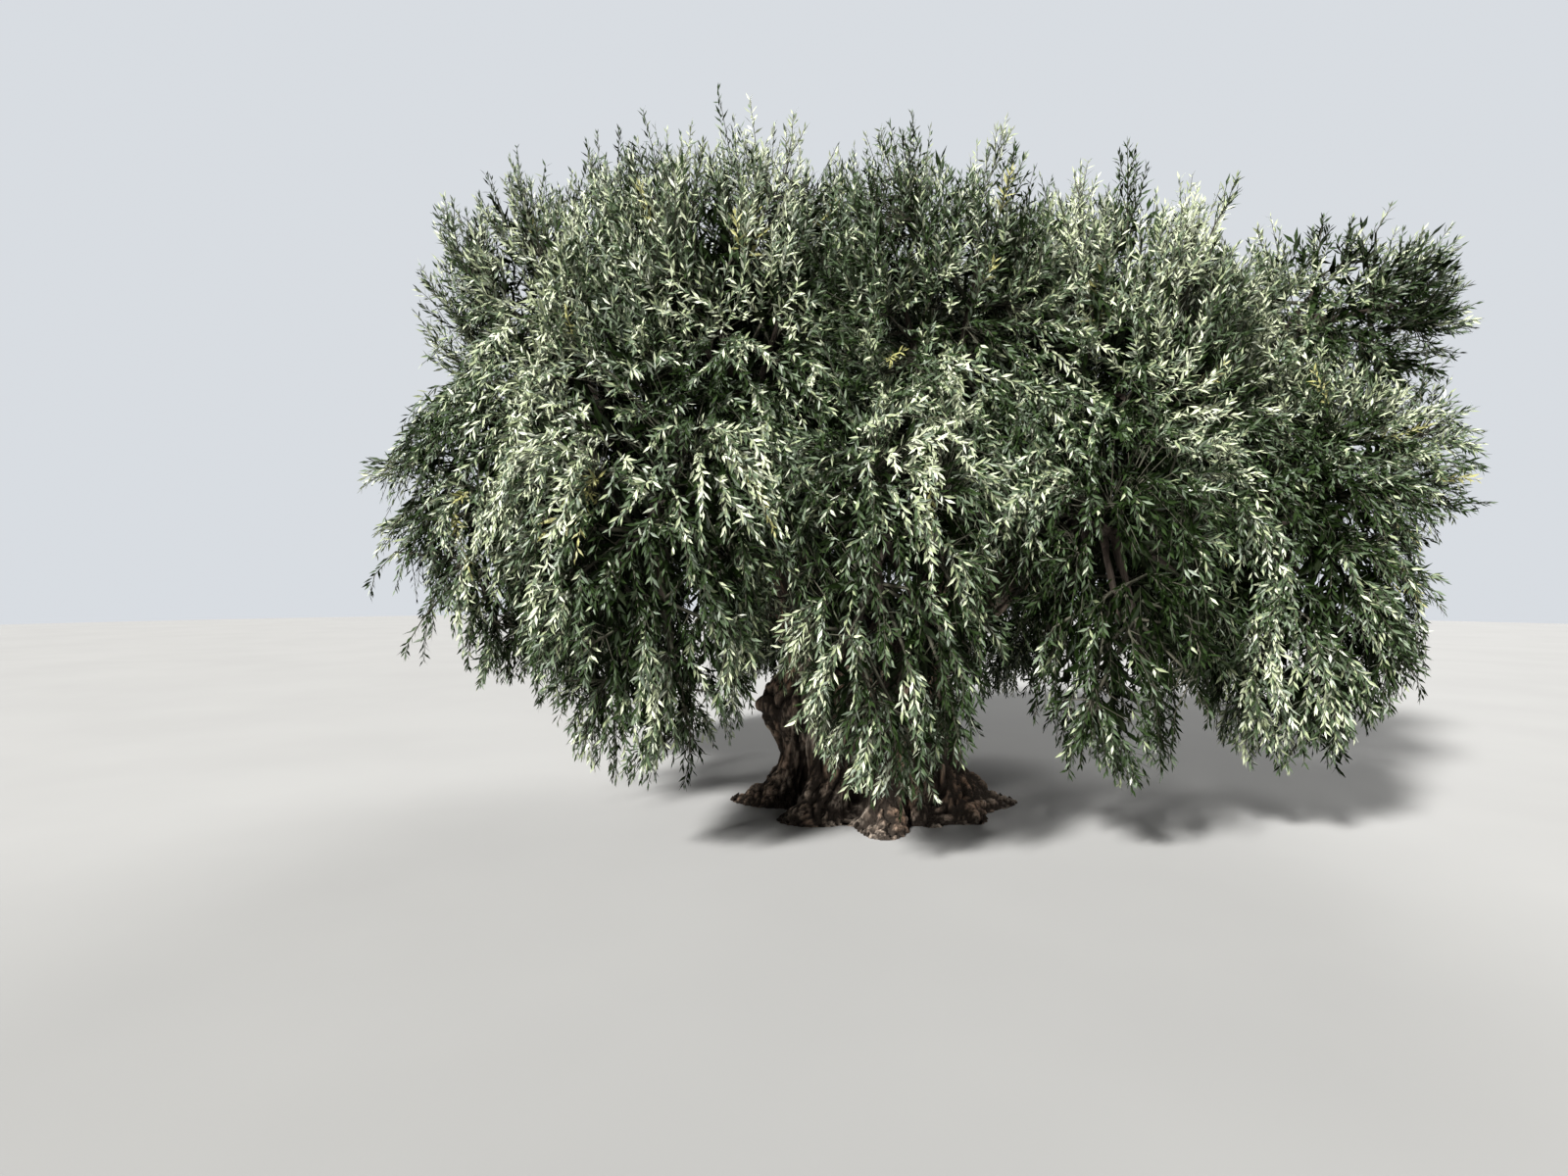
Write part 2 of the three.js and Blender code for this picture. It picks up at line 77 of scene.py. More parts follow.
# Hollows rotted into the flare between the roots: angle, height, depth, half width and half height.
HOLLOWS = ((-56, 0.2, 0.2, 0.085, 0.17), (-33, 0.27, 0.17, 0.075, 0.2), (-108, 0.1, 0.24, 0.11, 0.13),
           (-76, 0.07, 0.2, 0.08, 0.1), (-22, 0.55, 0.11, 0.06, 0.22), (18, 0.16, 0.18, 0.09, 0.16),
           (66, 0.3, 0.2, 0.1, 0.24), (112, 0.13, 0.22, 0.1, 0.14), (160, 0.2, 0.18, 0.09, 0.17),
           (205, 0.24, 0.2, 0.08, 0.22), (-150, 0.12, 0.2, 0.1, 0.15), (-128, 0.62, 0.12, 0.07, 0.26))

# The boughs leave the inside of the trunk on a small ring and end in a fork of three limbs.
BOUGH_RING = 0.27
BOUGH_FOOT = 1.13
BOUGH_RADII = (0.235, 0.118)
BOUGH_ELBOW = 0.62
BOUGH_RISE = 0.15
BOUGHS = {
    "bough_front_left": (-0.78, -0.52, 2.06),
    "bough_left": (-1.29, 0.03, 2.08),
    "bough_back_left": (-0.48, 0.82, 2.11),
    "bough_back_right": (0.85, 0.76, 2.08),
    "bough_right": (1.38, -0.12, 2.05),
    "bough_front_right": (0.56, -0.56, 2.1),
}
LIMB_RADII = (0.088, 0.052)
STEM_END_RADIUS = 0.034
LIMB_SINK = 0.07
LIMB_ENTRY = 0.97
ENTRY_FROM = 0.15
ENTRY_TO = 0.9
ENTRY_STEP = 0.01

# The masses of foliage: habit, bough, and the middle and half size of the space that each one fills.
MASSES = (
    ("curtain_front", "weeping", "bough_front_left", (-0.1, -1.66, 1.49), (0.64, 0.5, 1.24)),
    ("curtain_front_left", "weeping", "bough_front_left", (-1.42, -1.56, 1.67), (0.78, 0.64, 1.23)),
    ("crown_front_left", "upright", "bough_front_left", (-1.02, -0.7, 3.35), (0.82, 0.85, 1.39)),
    ("curtain_left", "weeping", "bough_left", (-2.48, -0.9, 1.95), (0.8, 0.8, 1.18)),
    ("crown_left", "upright", "bough_left", (-2.24, -0.43, 3.23), (0.92, 0.88, 1.33)),
    ("curtain_back_left", "weeping", "bough_left", (-2.33, 0.9, 1.85), (0.85, 0.85, 1.23)),
    ("crown_back_left", "upright", "bough_back_left", (-1.7, 0.98, 3.33), (1.05, 0.9, 1.35)),
    ("curtain_back", "weeping", "bough_back_left", (-0.48, 1.96, 1.69), (1.02, 0.65, 1.28)),
    ("crown_back", "upright", "bough_back_left", (-0.13, 1.05, 3.49), (0.95, 0.9, 1.4)),
    ("crown_back_right", "upright", "bough_back_right", (1.69, 0.9, 3.3), (1.13, 0.9, 1.33)),
    ("curtain_back_right", "weeping", "bough_back_right", (1.5, 1.86, 1.69), (0.98, 0.7, 1.27)),
    ("curtain_far_right", "weeping", "bough_back_right", (2.88, 0.9, 1.81), (0.85, 0.85, 1.25)),
    ("shelf_right", "spreading", "bough_right", (3.26, -0.26, 3.6), (0.88, 0.76, 0.64)),
    ("billow_right", "spreading", "bough_right", (3.18, -0.48, 2.37), (0.83, 0.76, 0.62)),
    ("curtain_right", "weeping", "bough_right", (2.48, -1.06, 1.53), (0.74, 0.72, 1.16)),
    ("crown_front_right", "upright", "bough_front_right", (1.58, -0.64, 3.23), (0.84, 0.84, 1.27)),
    ("curtain_front_right", "weeping", "bough_front_right", (1.21, -1.52, 1.55), (0.6, 0.6, 1.18)),
    ("crown_front", "upright", "bough_front_right", (0.3, -0.72, 3.33), (0.83, 0.83, 1.39)),
)

# The shape of a mass's space, which narrows towards the hem of a weeping one, the gap that it keeps to its
# neighbours, and how close a neighbour stands where it closes a mass in.
SPACE_POWER = 2.7
HEM_POWER = 1.8
SPACE_GAP = 0.005
CLOSED_FROM = 0.95
CLOSED_TO = 1.3

# How much of these masses the finer shoots fill: less where single sprays stand out further than elsewhere,
# and a little more where the crown is fullest.
FILLED_SHARE = {
    "curtain_front_left": 1.05,
    "curtain_left": 0.87,
    "crown_left": 1.06,
    "crown_front": 0.95,
    "crown_front_right": 0.91,
}

# Painted light and shade on some masses: how much lighter or darker than the rest of the crown their leaves
# are painted, and how sharply what belongs to a mass ends at its neighbours.
MASS_LIGHT = {
    "curtain_front_left": 0.1,
    "curtain_front": 0.08,
    "curtain_left": 0.02,
    "curtain_right": -0.03,
    "billow_right": 0.02,
    "curtain_front_right": -0.17,
    "crown_front_right": -0.06,
    "crown_front": -0.01,
    "crown_left": -0.04,
    "crown_front_left": -0.02,
    "shelf_right": -0.07,
}
MASS_FADE = 5.0

# How each habit grows: how far up the middle of its mass the stem ends, how high the limb arches, the
# shares of outward and upward growth in its sprays, and how far they bow out before they turn.
HABITS = {
    "weeping": {"anchor": 0.3, "arch": 0.26, "outward": 0.5, "upward": -1.0, "bow": 0.096},
    "upright": {"anchor": -0.25, "arch": 0.06, "outward": 0.42, "upward": 1.0, "bow": 0.066},
    "spreading": {"anchor": 0.0, "arch": 0.12, "outward": 1.0, "upward": 0.3, "bow": 0.045},
}

# One mass's branches, twigs and sprays. Shares are of the reach from the middle of its space. The first
# draws of its series belong to the core of the solid, which isn't made here.
CORE_DRAWS = 42
BRANCHES = 5
BRANCH_FROM = 0.45
BRANCH_END = 0.5
BRANCH_RADII = (0.03, 0.018)
BRANCH_BOW = 0.04
SPRAYS = 31
SPRAY_TURN = 1.7
LONG_EVERY = 2
LONG_FROM = 0.1
SPRAY_CLOSED = 0.4
TWIG_FOOT = 0.7
TWIG_END = 0.62
LONG_TWIG_END = 0.78
TWIG_RADII = (0.016, 0.007)
SPRAY_LENGTH = 0.64
SPRAY_SHORTEST = 0.8
SPRAY_SPREAD = 0.3
SPRAY_SHORTENING = 0.94
SPRAY_LEAST = 0.16
SPRAY_SCATTER = 0.35
SPRAY_LEAST_OUTWARD = 0.4

# A plume: a leading shoot along the spray, and side shoots that leave it all round, shorter towards its tip.
PLUME_SHOOTS = 7
PLUME_OPENING = 0.36
PLUME_OPENINGS = (0.7, 1.3)
PLUME_LENGTH = 0.6
PLUME_LENGTHS = (0.8, 1.15)
PLUME_TIP = 1.05
PLUME_BOW = 0.12
PLUME_SHARES = (0.02, 0.6)

# The share of a shoot that bears no leaves: of a plume's leader, of its side shoots, of a shoot on a limb,
# and of the stalk on which one of the finer shoots reaches the crown's surface.
LEADER_BARE = 0.04
SIDE_BARE = 0.06
LIMB_SHOOT_BARE = 0.12
STALK_BARE = 0.75

# Tall, slim plumes that stand out of the top of the crown: the tip of each one in front. Each has a fellow
# further back, where the crown is deep enough to carry one. Then their height above the twig that they rise
# from, how far they lean outwards and to any side, and the opening and place of their side shoots.
TALL_TIPS = (
    (-2.55, -0.5, 4.7), (-2.0, -0.45, 4.83), (-1.58, -0.5, 4.84), (-1.12, -0.5, 4.8), (-0.57, -0.5, 4.72),
    (-0.18, -0.45, 4.74), (0.35, -0.5, 4.82), (0.68, -0.5, 4.72), (1.22, -0.45, 4.5), (1.8, -0.5, 4.56),
    (2.27, -0.45, 4.32), (2.9, -0.35, 4.2), (3.7, -0.3, 4.02),
)
TALL_FELLOW = (0.25, 1.5, -0.1)
TALL_OUTSIDE = 1.12
TALL_HEIGHT = 0.75
TALL_LEAN = 0.1
TALL_WAVER = 0.06
TALL_OPENING = 0.2
TALL_SHARES = (0.45, 0.85)

# One soft skin round all the masses, as a depth that is 1 on the skin: the heights at which it changes,
# and how sharply it follows each mass there. The curtains hang apart and the crown above them closes.
SKIN_HEIGHTS = (1.3, 1.85, 3.3, 4.1)
SKIN_SHARPNESS = (14.0, 3.2, 3.2, 3.0)
SKIN_STEP = 0.03
CROWN_TOP = 4.84

# How often at most, and by how much each time, a shoot is shortened until its tip is deep enough inside.
FIT_STEPS = 16
FIT_SHORTENING = 0.88

# The finer shoots fill the crown between the sprays. An outer layer lies under the skin, and an inner one
# with larger leaves shades the heart of the crown. Each has the spacing of its shoots, the shares of their
# reach at which they start to bear leaves, the lengths of the upright and of the hanging ones, and the
# share of their reach that they may fill.
OUTER_LAYER = {
    "spacing": 0.102,
    "starts": (0.62, 0.92),
    "upright": (0.3, 0.55),
    "hanging": (0.4, 0.95),
    "reach": 1.0,
}
INNER_LAYER = {
    "spacing": 0.155,
    "starts": (0.35, 0.76),
    "upright": (0.3, 0.5),
    "hanging": (0.3, 0.5),
    "reach": 0.8,
}

# How deep in the crown most shoots end, as a share of the way to its skin. The hanging ones: in the hems
# and above them. The upright ones: on the crown's sides and on its top, where clumps of taller ones stand
# out. The powers say how seldom a shoot is tall: one on its own, and one in a clump.
HANGING_REACH = (0.95, 0.91)
UPRIGHT_REACH = (0.91, 0.72)
TOP_HEIGHTS = (3.35, 4.15)
TALLEST_REACH = 0.98
CLUMP_WIDTH = 0.55
CLUMP_EDGE = (0.05, 0.75)
LONE_TALL_POWER = 5
CLUMP_TALL_POWER = 0.7

# Hollows in the surface of the crown, as place, half width and depth: a notch on the left, the gap under the
# shelf, the shelf's low top, and the dark gaps between the curtains in front.
CROWN_HOLLOWS = (
    ((-3.05, -0.8, 3.15), (0.5, 0.9, 0.32), 0.36),
    ((3.45, -0.35, 2.98), (0.6, 0.9, 0.17), 0.34),
    ((3.35, -0.3, 4.4), (1.0, 0.9, 0.42), 0.4),
    ((-0.7, -1.9, 1.9), (0.17, 0.6, 0.6), 0.3),
    ((0.63, -1.8, 1.6), (0.2, 0.6, 0.4), 0.26),
    ((1.55, -1.9, 1.3), (0.35, 0.5, 0.35), 0.22),
)

# The hems hang in strands: how wide these are, and how much shorter the shoots between them stay.
STRAND_WIDTH = 0.3
STRAND_EDGE = (-0.5, 0.5)
STRAND_SHORTER = 0.24

# How many of these shoots grow: all of them low down in the hems, fewer higher up where the masses stand
# one behind another, and still fewer under the crown. A mass that stands alone has more of them.
HEM_HEIGHTS = (1.5, 2.4)
CROWN_FULLNESS = 0.43
UNDER_SLOPE = -0.5
UNDER_FULLNESS = 0.5
LONE_FULLNESS = {"shelf_right": 2.6, "billow_right": 1.4}

# The way the finer shoots grow: the heights between which hanging ones give way to upright ones and how
# much that border wavers, how far they lean and bow outwards, how much they scatter, the least length, and
# the places along the twigs that they may grow from.
HANGING_BELOW = 2.3
UPRIGHT_ABOVE = 3.6
HABIT_WAVER = 0.6
SHOOT_OUTWARD = 0.45
SHOOT_LEAST_OUTWARD = 0.15
SPREADING_UPWARD = 0.6
SHOOT_BOW = 0.25
SHOOT_BACK = 0.1
SHOOT_SCATTER = 0.45
SCATTER_SHAPE = (1, 1, 0.6)
STRAIGHTER = 0.4
SHOOT_LEAST = 0.13
TWIG_PLACES = (0.35, 0.5, 0.65, 0.8, 0.95)

# The lumps in the surface of the crown: how wide and tall, and how deep the hollows between them. Other
# patterns are the same one, moved, and made broader or drawn out into columns.
LUMP_SIZE = (0.34, 0.34, 0.6)
LUMP_GAIN = 1.8
LUMP_DEPTH = 0.22
BROADER = 0.5
HABIT_PATTERN = 3
TONE_PATTERN = 7
COLUMN_PATTERN = 11
COLUMN_SHAPE = (1, 1, 0.15)

# The radii of a shoot at its foot and its tip, the number of straight bits in it and in a twig, and the
# number of pieces that the shoots are joined into.
SHOOT_RADII = (0.0045, 0.0016)
SHOOT_STEPS = 2
TWIG_STEPS = 5
SHOOT_PIECES = 2

# The seed of all the draws for the shoots and leaves.
SHOOT_SEED = 2

# Shoots that stand up from the limbs and hide them: their number on each, how far out the first one
# stands, their lengths, how far they head up and along the limb, and how they bend over.
LIMB_SHOOTS = 22
LIMB_SHOOTS_FROM = 0.2
LIMB_SHOOT_LENGTH = (0.28, 0.55)
LIMB_SHOOT_UPWARD = (0.1, 1.0)
LIMB_SHOOT_ALONG = 0.5
LIMB_SHOOT_REACH = 0.96
LIMB_SHOOT_CREST = 0.6
LIMB_SHOOT_DROOP = 0.25

# Leaves stand in pairs along a shoot, each pair turned a quarter against the last. Those in the heart of
# the crown are fewer and larger.
PAIR_SPACING = 0.0265
INNER_SPACING = 0.058
INNER_SIZE = 2.2
LEAF_LENGTH = 0.07
LEAF_WIDTH = 0.0165
LEAF_SIZES = (0.8, 1.15)
SMALLER_FROM = 0.7
TIP_LEAF_SMALLER = 0.3
LEAVES_PER_PIECE = 90000

# How a leaf stands: how far it opens from its shoot, and closes up again towards the tip; how far it slips
# along the shoot and turns round it; and how far it droops.
LEAF_OPENING = 0.68
LEAF_OPENING_SPREAD = 0.22
CLOSING_FROM = 0.75
LEAF_CLOSING = 0.35
LEAF_SLIP = 0.25
LEAF_TURN = 0.3
LEAF_DROOP = 0.3

# How many leaves turn their dark upper side out of the crown, and what the upper side faces: its shoot's
# tip, the way out of the crown, the light, and chance.
UPPER_SHOWN = 0.72
LEAF_FACING = {"stem": 0.5, "outward": 1.2, "light": 0.6, "chance": 0.35}

# One leaf in its own outline, as wide and as long as 1, folded along its midrib.
LEAF_OUTLINE = ((0.0, 0.0), (0.5, 0.44), (0.0, 1.0), (-0.5, 0.5))
LEAF_FACES = ((0, 1, 2), (0, 2, 3))
LEAF_FOLD = 0.05

# Where most light falls from, which the leaves turn to, and the side of the crown that is painted lighter.
LIGHT_SIDE = np.array((-0.48, -0.62, 0.62))

# The tints of the leaves, dealt out by shoot and then by leaf: the upper side, the under side and the
# gloss, from shade to full light. All but the last are lit and shaded copies of one leaf, which paint light
# and shade on it, from painted shade to painted full light; the last is a yellow that some leaves have.
TINTS = (
    ("shaded", (0.005, 0.010, 0.002), (0.013, 0.018, 0.008), 0.05),
    ("dark", (0.020, 0.036, 0.010), (0.044, 0.062, 0.034), 0.12),
    ("green", (0.054, 0.082, 0.038), (0.118, 0.147, 0.104), 0.28),
    ("grey_green", (0.118, 0.155, 0.092), (0.230, 0.264, 0.204), 0.4),
    ("pale_green", (0.272, 0.312, 0.172), (0.410, 0.440, 0.330), 0.45),
    ("silver", (0.505, 0.545, 0.362), (0.645, 0.675, 0.545), 0.5),
    ("yellow", (0.330, 0.320, 0.120), (0.400, 0.390, 0.190), 0.4),
)
TINT_LIMITS = (0.15, 0.35, 0.49, 0.60, 0.73)
TINT_SPREAD = 0.18
YELLOW_SHARE = 0.004

# How light a shoot's leaves are painted: the middle tone at a middle depth, and what its depth in the crown,
# the side that it is on, its habit, the lumps of the crown and chance add to it. All but chance are painted
# light and shade: darker deep in the crown, in the hems and in the hollows between the lumps, lighter on the
# side that faces the light, on the upright top and on the lumps. Chance gives a random tone. Heart leaves are
# darker, painted shade.
TONE_PLACE = 0.75
TONE_DEPTH = 0.72
INNER_TONE = 0.3
TONE = {
    "middle": 0.33,
    "depth": 0.6,
    "side": 0.1,
    "upright": 0.12,
    "hem": -0.12,
    "lump": 0.22,
    "broad_lump": 0.17,
    "chance": 0.1,
}

# The wood: the fineness of the fused skin, the stretch of the grain, where it turns from the trunk's way to
# the boughs', the swellings, sides and rings of boughs, limbs and branches, and the relief of the limbs.
WOOD_VOXEL = 0.0155
WOOD_SMOOTHING = 4
GRAIN_STRETCH = 0.2
GRAIN_PLACES = 50
BOUGH_GRAIN_RUN = (0.35, 0.8)
BOUGH_GRAIN_HEIGHTS = (1.2, 1.5)
BOUGH_GRAIN_SHIFT = 5.0
BOUGH_RELIEF = 0.42
BOUGH_SWELLING = 0.16
BOUGH_SIDES = 32
BOUGH_RINGS = 40
LIMB_SWELLING = 0.2
LIMB_SEED = 40
LIMB_SIDES = 12
LIMB_RINGS = 26
BRANCH_SIDES = 7
BRANCH_RINGS = 9
LIMB_RELIEF = {
    "Ridge depth": 0.012,
    "Ridge scale": 14.0,
    "Plate depth": 0.004,
    "Plate scale": 40.0,
    "Lump depth": 0.02,
    "Lump scale": 5.0,
}

# The colours of the wood: how warm the trunk is, and those of the limbs, which are darkened as painted shade
# since they stand in the shade of the crown, and of the twigs and shoots.
TRUNK_WARMTH = 0.9
SHADED_LIMB_COLOURS = {
    "Ridge colour": (0.11, 0.102, 0.088, 1),
    "Warm colour": (0.105, 0.075, 0.054, 1),
    "Warmth": 0.3,
    "Fine scale": 60.0,
}
TWIG_COLOURS = ((0.034, 0.036, 0.022), (0.075, 0.07, 0.05))

# The floor, and its two close colours.
FLOOR_RADIUS = 45
FLOOR_SIDES = 96
FLOOR_HEIGHT = -0.002
FLOOR_COLOURS = ((0.355, 0.35, 0.338), (0.37, 0.365, 0.352))

# The lights: place, spread in degrees and strength. The sky lights the tree softly and looks brighter.
LIGHTS = {
    "key_light": ((-6.5, -8.5, 9.5), 8, 8.6),
    "fill_light": ((7.0, -9.0, 2.9), 40, 1.1),
    "back_light": ((4.0, 9.0, 8.0), 40, 2.2),
}
LIGHT_TARGET = (0, 0, 2)
SKY_COLOUR = (0.86, 0.9, 0.95, 1)
SKY_STRENGTHS = {"To Min": 0.085, "To Max": 0.8}

# The camera stands level, six metres in front of the trunk.
CAMERA_PLACE = (-0.675, -6.0, 1.6)
CAMERA_LENS = 18.0
SENSOR_WIDTH = 36


def unit(vectors):
    return vectors / np.maximum(np.linalg.norm(vectors, axis=-1, keepdims=True), 1e-12)


def lerp(a, b, share):
    return a + (b - a) * share


def smoothstep(x, low, high):
    t = np.clip((x - low) / (high - low), 0, 1)
    return t * t * (3 - 2 * t)


def bell(distance, width):
    """Bell-shaped fall-off, 1 in the middle."""
    return np.exp(-((distance / width) ** 2))


def angle_between(a, b):
    return np.abs((a - b + math.pi) % (2 * math.pi) - math.pi)


def seeded_draws(seed):
    """A repeatable series of draws between 0 and 1."""
    state = seed
    while True:
        state = (state * 1664525 + 1013904223) % 2**32
        yield state / 2**32


class Curve:
    """A quadratic curve from a foot, past a crest, to an end. Each may be one point or an array of them."""

    def __init__(self, foot, crest, end):
        self.foot = np.asarray(foot, float)
        self.crest = np.asarray(crest, float)
        self.end = np.asarray(end, float)

    def point(self, share):
        share = np.asarray(share, float)[..., None]
        return (1 - share) ** 2 * self.foot + 2 * share * (1 - share) * self.crest + share**2 * self.end

    def heading(self, share):
        share = np.asarray(share, float)[..., None]
        return unit((1 - share) * (self.crest - self.foot) + share * (self.end - self.crest))

    def picked(self, indices):
        return Curve(self.foot[indices], self.crest[indices], self.end[indices])


def joined(curves):
    """Several arrays of curves as one."""
    parts = ("foot", "crest", "end")
    return Curve(*(np.concatenate([getattr(curve, part) for curve in curves]) for part in parts))


# The space that each mass fills.


class Mass:
    """A mass of foliage: its space, its habit, and its place in the series of seeds."""

    def __init__(self, index, name, habit, bough, middle, half):
        self.name = name
        self.habit = HABITS[habit]
        self.hem_power = HEM_POWER if habit == "weeping" else SPACE_POWER
        self.bough = bough
        self.middle = np.array(middle)
        self.half = np.array(half)
        self.filled = FILLED_SHARE.get(name, 1.0)
        self.light = MASS_LIGHT.get(name, 0.0)
        self.seed = 7919 * (index + 1)

    def box_reach(self, directions):
        """How far the mass's own rounded box reaches from its middle. A weeping one narrows to its hem."""
        steep = np.abs(directions / self.half)
        flat = (steep[..., :2] ** SPACE_POWER).sum(-1) ** (1 / SPACE_POWER)
        power = np.where(directions[..., 2] < 0, self.hem_power, SPACE_POWER)
        return (flat**power + steep[..., 2] ** power) ** (-1 / power)

    def part_from(self, others):
        """Sets the planes that part this space from its neighbours' spaces."""
        apart = np.array([other.middle - self.middle for other in others])
        self.normals = unit(apart)
        mine = self.box_reach(self.normals)
        theirs = np.array([other.box_reach(normal) for other, normal in zip(others, self.normals)])
        self.distances = np.linalg.norm(apart, axis=1) * mine / (mine + theirs) - SPACE_GAP

    def plane_reach(self, directions):
        facing = directions @ self.normals.T
        return np.where(facing > 1e-6, self.distances / np.maximum(facing, 1e-6), np.inf).min(-1)

    def closed_in(self, directions):
        """0 on a side where the mass is open, 1 where a neighbour is packed against it."""
        return smoothstep(self.box_reach(directions) / self.plane_reach(directions), CLOSED_FROM, CLOSED_TO)

    def reach(self, directions):
        return np.minimum(self.box_reach(directions), self.plane_reach(directions))

    def depth(self, points):
        """How far out points are: 0 in the middle, 1 on the surface."""
        offset = points - self.middle
        return np.linalg.norm(offset, axis=-1) / self.reach(unit(offset))

    def box_depth(self, points):
        offset = points - self.middle
        return np.linalg.norm(offset, axis=-1) / self.box_reach(unit(offset))

    def point(self, directions, share):
        return self.middle + directions * (share * self.reach(directions))[..., None]


# The functions from here on read masses, the list of all of them, which is grown further down.


def crown_depth(points):
    """How far out points are in the whole crown: 1 on the soft skin round all its masses."""
    sharpness = np.interp(points[..., 2], SKIN_HEIGHTS, SKIN_SHARPNESS)
    near = sum(np.exp(-sharpness * mass.box_depth(points) / mass.filled) for mass in masses)
    return -np.log(near) / sharpness


def crown_outward(points):
    """The way out of the crown: where the depth grows fastest."""
    steps = np.eye(3) * SKIN_STEP
    return unit(np.stack([crown_depth(points + step) - crown_depth(points - step) for step in steps], -1))


def spread_directions(count, turn):
    """Directions spread evenly over the sphere."""
    index = np.arange(count)
    z = 1 - (2 * index + 1) / count
    flat = np.sqrt(1 - z * z)
    angle = index * GOLDEN_ANGLE + turn
    return np.stack((flat * np.cos(angle), flat * np.sin(angle), z), -1)


def bough_curve(tip):
    end = np.array(tip)
    foot = unit(end * (1, 1, 0)) * BOUGH_RING + UP * BOUGH_FOOT
    return Curve(foot, lerp(foot, end, BOUGH_ELBOW) - UP * BOUGH_RISE, end)


def limb_curve(mass, bough):
    """Out of the bough's tip, over an arch and into the mass."""
    end = mass.middle + UP * mass.habit["anchor"] * mass.half[2]
    foot = bough.end - bough.heading(1) * LIMB_SINK
    return Curve(foot, lerp(foot, end, 0.5) + UP * mass.habit["arch"], end)


def entry_share(mass, curve):
    """The share of the curve at which a limb enters its mass."""
    share = ENTRY_FROM
    while share < ENTRY_TO and mass.depth(curve.point(share)) > LIMB_ENTRY:
        share += ENTRY_STEP
    return share


# Growth inside a mass.


def spray_tip(mass, base, outward, draw):
    """Where a spray that starts at base ends, or None where there is no room."""
    heading = outward * mass.habit["outward"] + UP * mass.habit["upward"]
    heading[0] += SPRAY_SCATTER * (2 * next(draw) - 1)
    heading[1] += SPRAY_SCATTER * (2 * next(draw) - 1)
    heading = unit(heading)
    heading = unit(heading + outward * max(0, SPRAY_LEAST_OUTWARD - heading @ outward))
    length = SPRAY_LENGTH * (SPRAY_SHORTEST + SPRAY_SPREAD * next(draw))
    while length >= SPRAY_LEAST and mass.depth(base + heading * length) > 1:
        length *= SPRAY_SHORTENING
    return None if length < SPRAY_LEAST else base + heading * length


def grow_sprays(mass):
    """The mass's branches, and its twigs with the sprays at their ends, as straight curves."""
    draw = seeded_draws(mass.seed)
    for _ in range(CORE_DRAWS):
        next(draw)
    mass.turn = next(draw) * 2 * math.pi
    aims = spread_directions(BRANCHES, mass.turn)
    feet = mass.limb.point(lerp(mass.entry, 1, lerp(BRANCH_FROM, 1, np.arange(BRANCHES) / (BRANCHES - 1))))
    ends = mass.point(aims, BRANCH_END)
    twigs = []
    for i, direction in enumerate(spread_directions(SPRAYS, mass.turn * SPRAY_TURN)):
        if mass.closed_in(direction) > SPRAY_CLOSED:
            continue
        parent = np.argmax(aims @ direction)
        foot = lerp(feet[parent], ends[parent], TWIG_FOOT)
        is_long = i % LONG_EVERY == 0 and direction[2] * mass.habit["upward"] > LONG_FROM
        base = mass.point(direction, LONG_TWIG_END if is_long else TWIG_END)
        tip = spray_tip(mass, base, direction, draw)
        if tip is not None:
            twigs.append((foot, base, tip, direction))
    mass.branches = Curve(feet, lerp(feet, ends, 0.5) + UP * BRANCH_BOW, ends)
    foot, base, tip, mass.aims = (np.array(part) for part in zip(*twigs))
    mass.twigs = Curve(foot, lerp(foot, base, 0.5) + mass.aims * BRANCH_BOW, base)
    mass.leaders = Curve(base, lerp(base, tip, 0.5) + mass.aims * mass.habit["bow"], tip)


def side_vectors(headings):
    """Two directions square to each heading."""
    first = unit(np.cross(headings, (0.31, 0.83, 0.47)))
    return first, np.cross(headings, first)


def plume_shoots(leaders, shares, opening, rng):
    """Side shoots all round every leader, shorter towards its tip."""
    count = len(leaders.foot)
    number = np.tile(np.arange(PLUME_SHOOTS), count)
    leader = leaders.picked(np.repeat(np.arange(count), PLUME_SHOOTS))
    share = lerp(*shares, number / (PLUME_SHOOTS - 1))
    heading = leader.heading(share)
    first, second = side_vectors(heading)
    angle = number * GOLDEN_ANGLE + np.repeat(rng.uniform(0, 2 * math.pi, count), PLUME_SHOOTS)
    side = first * np.cos(angle)[:, None] + second * np.sin(angle)[:, None]
    foot = leader.point(share)
    whole = np.linalg.norm(leader.end - leader.foot, axis=1)
    length = whole * (PLUME_TIP - share) * PLUME_LENGTH * rng.uniform(*PLUME_LENGTHS, len(share))
    out = unit(heading + side * opening * rng.uniform(*PLUME_OPENINGS, len(share))[:, None])
    length = fitted(foot, out, length, 1.0)
    end = foot + out * length[:, None]
    crest = lerp(foot, end, 0.5) + side * (PLUME_BOW * length)[:, None]
    return Curve(foot, crest, end).picked(length > SHOOT_LEAST)


def fitted(base, heading, length, reach):
    """Lengths shortened until the tips are inside a share of the crown."""
    length = length.copy()
    for _ in range(FIT_STEPS):
        tip = base + heading * length[:, None]
        length[(crown_depth(tip) > reach) | (tip[:, 2] > CROWN_TOP)] *= FIT_SHORTENING
    return length


def lump(points):
    """Soft lumps in the surface of the crown, from about -1 to 1."""
    return np.array([noise.noise(Vector(point)) for point in points / LUMP_SIZE]) * LUMP_GAIN


def upright_share(points):
    """How upright shoots grow: 1 at the top of the crown, 0 where they hang."""
    wavering = points[:, 2] + HABIT_WAVER * lump(points * BROADER + HABIT_PATTERN)
    return smoothstep(wavering, HANGING_BELOW, UPRIGHT_ABOVE)


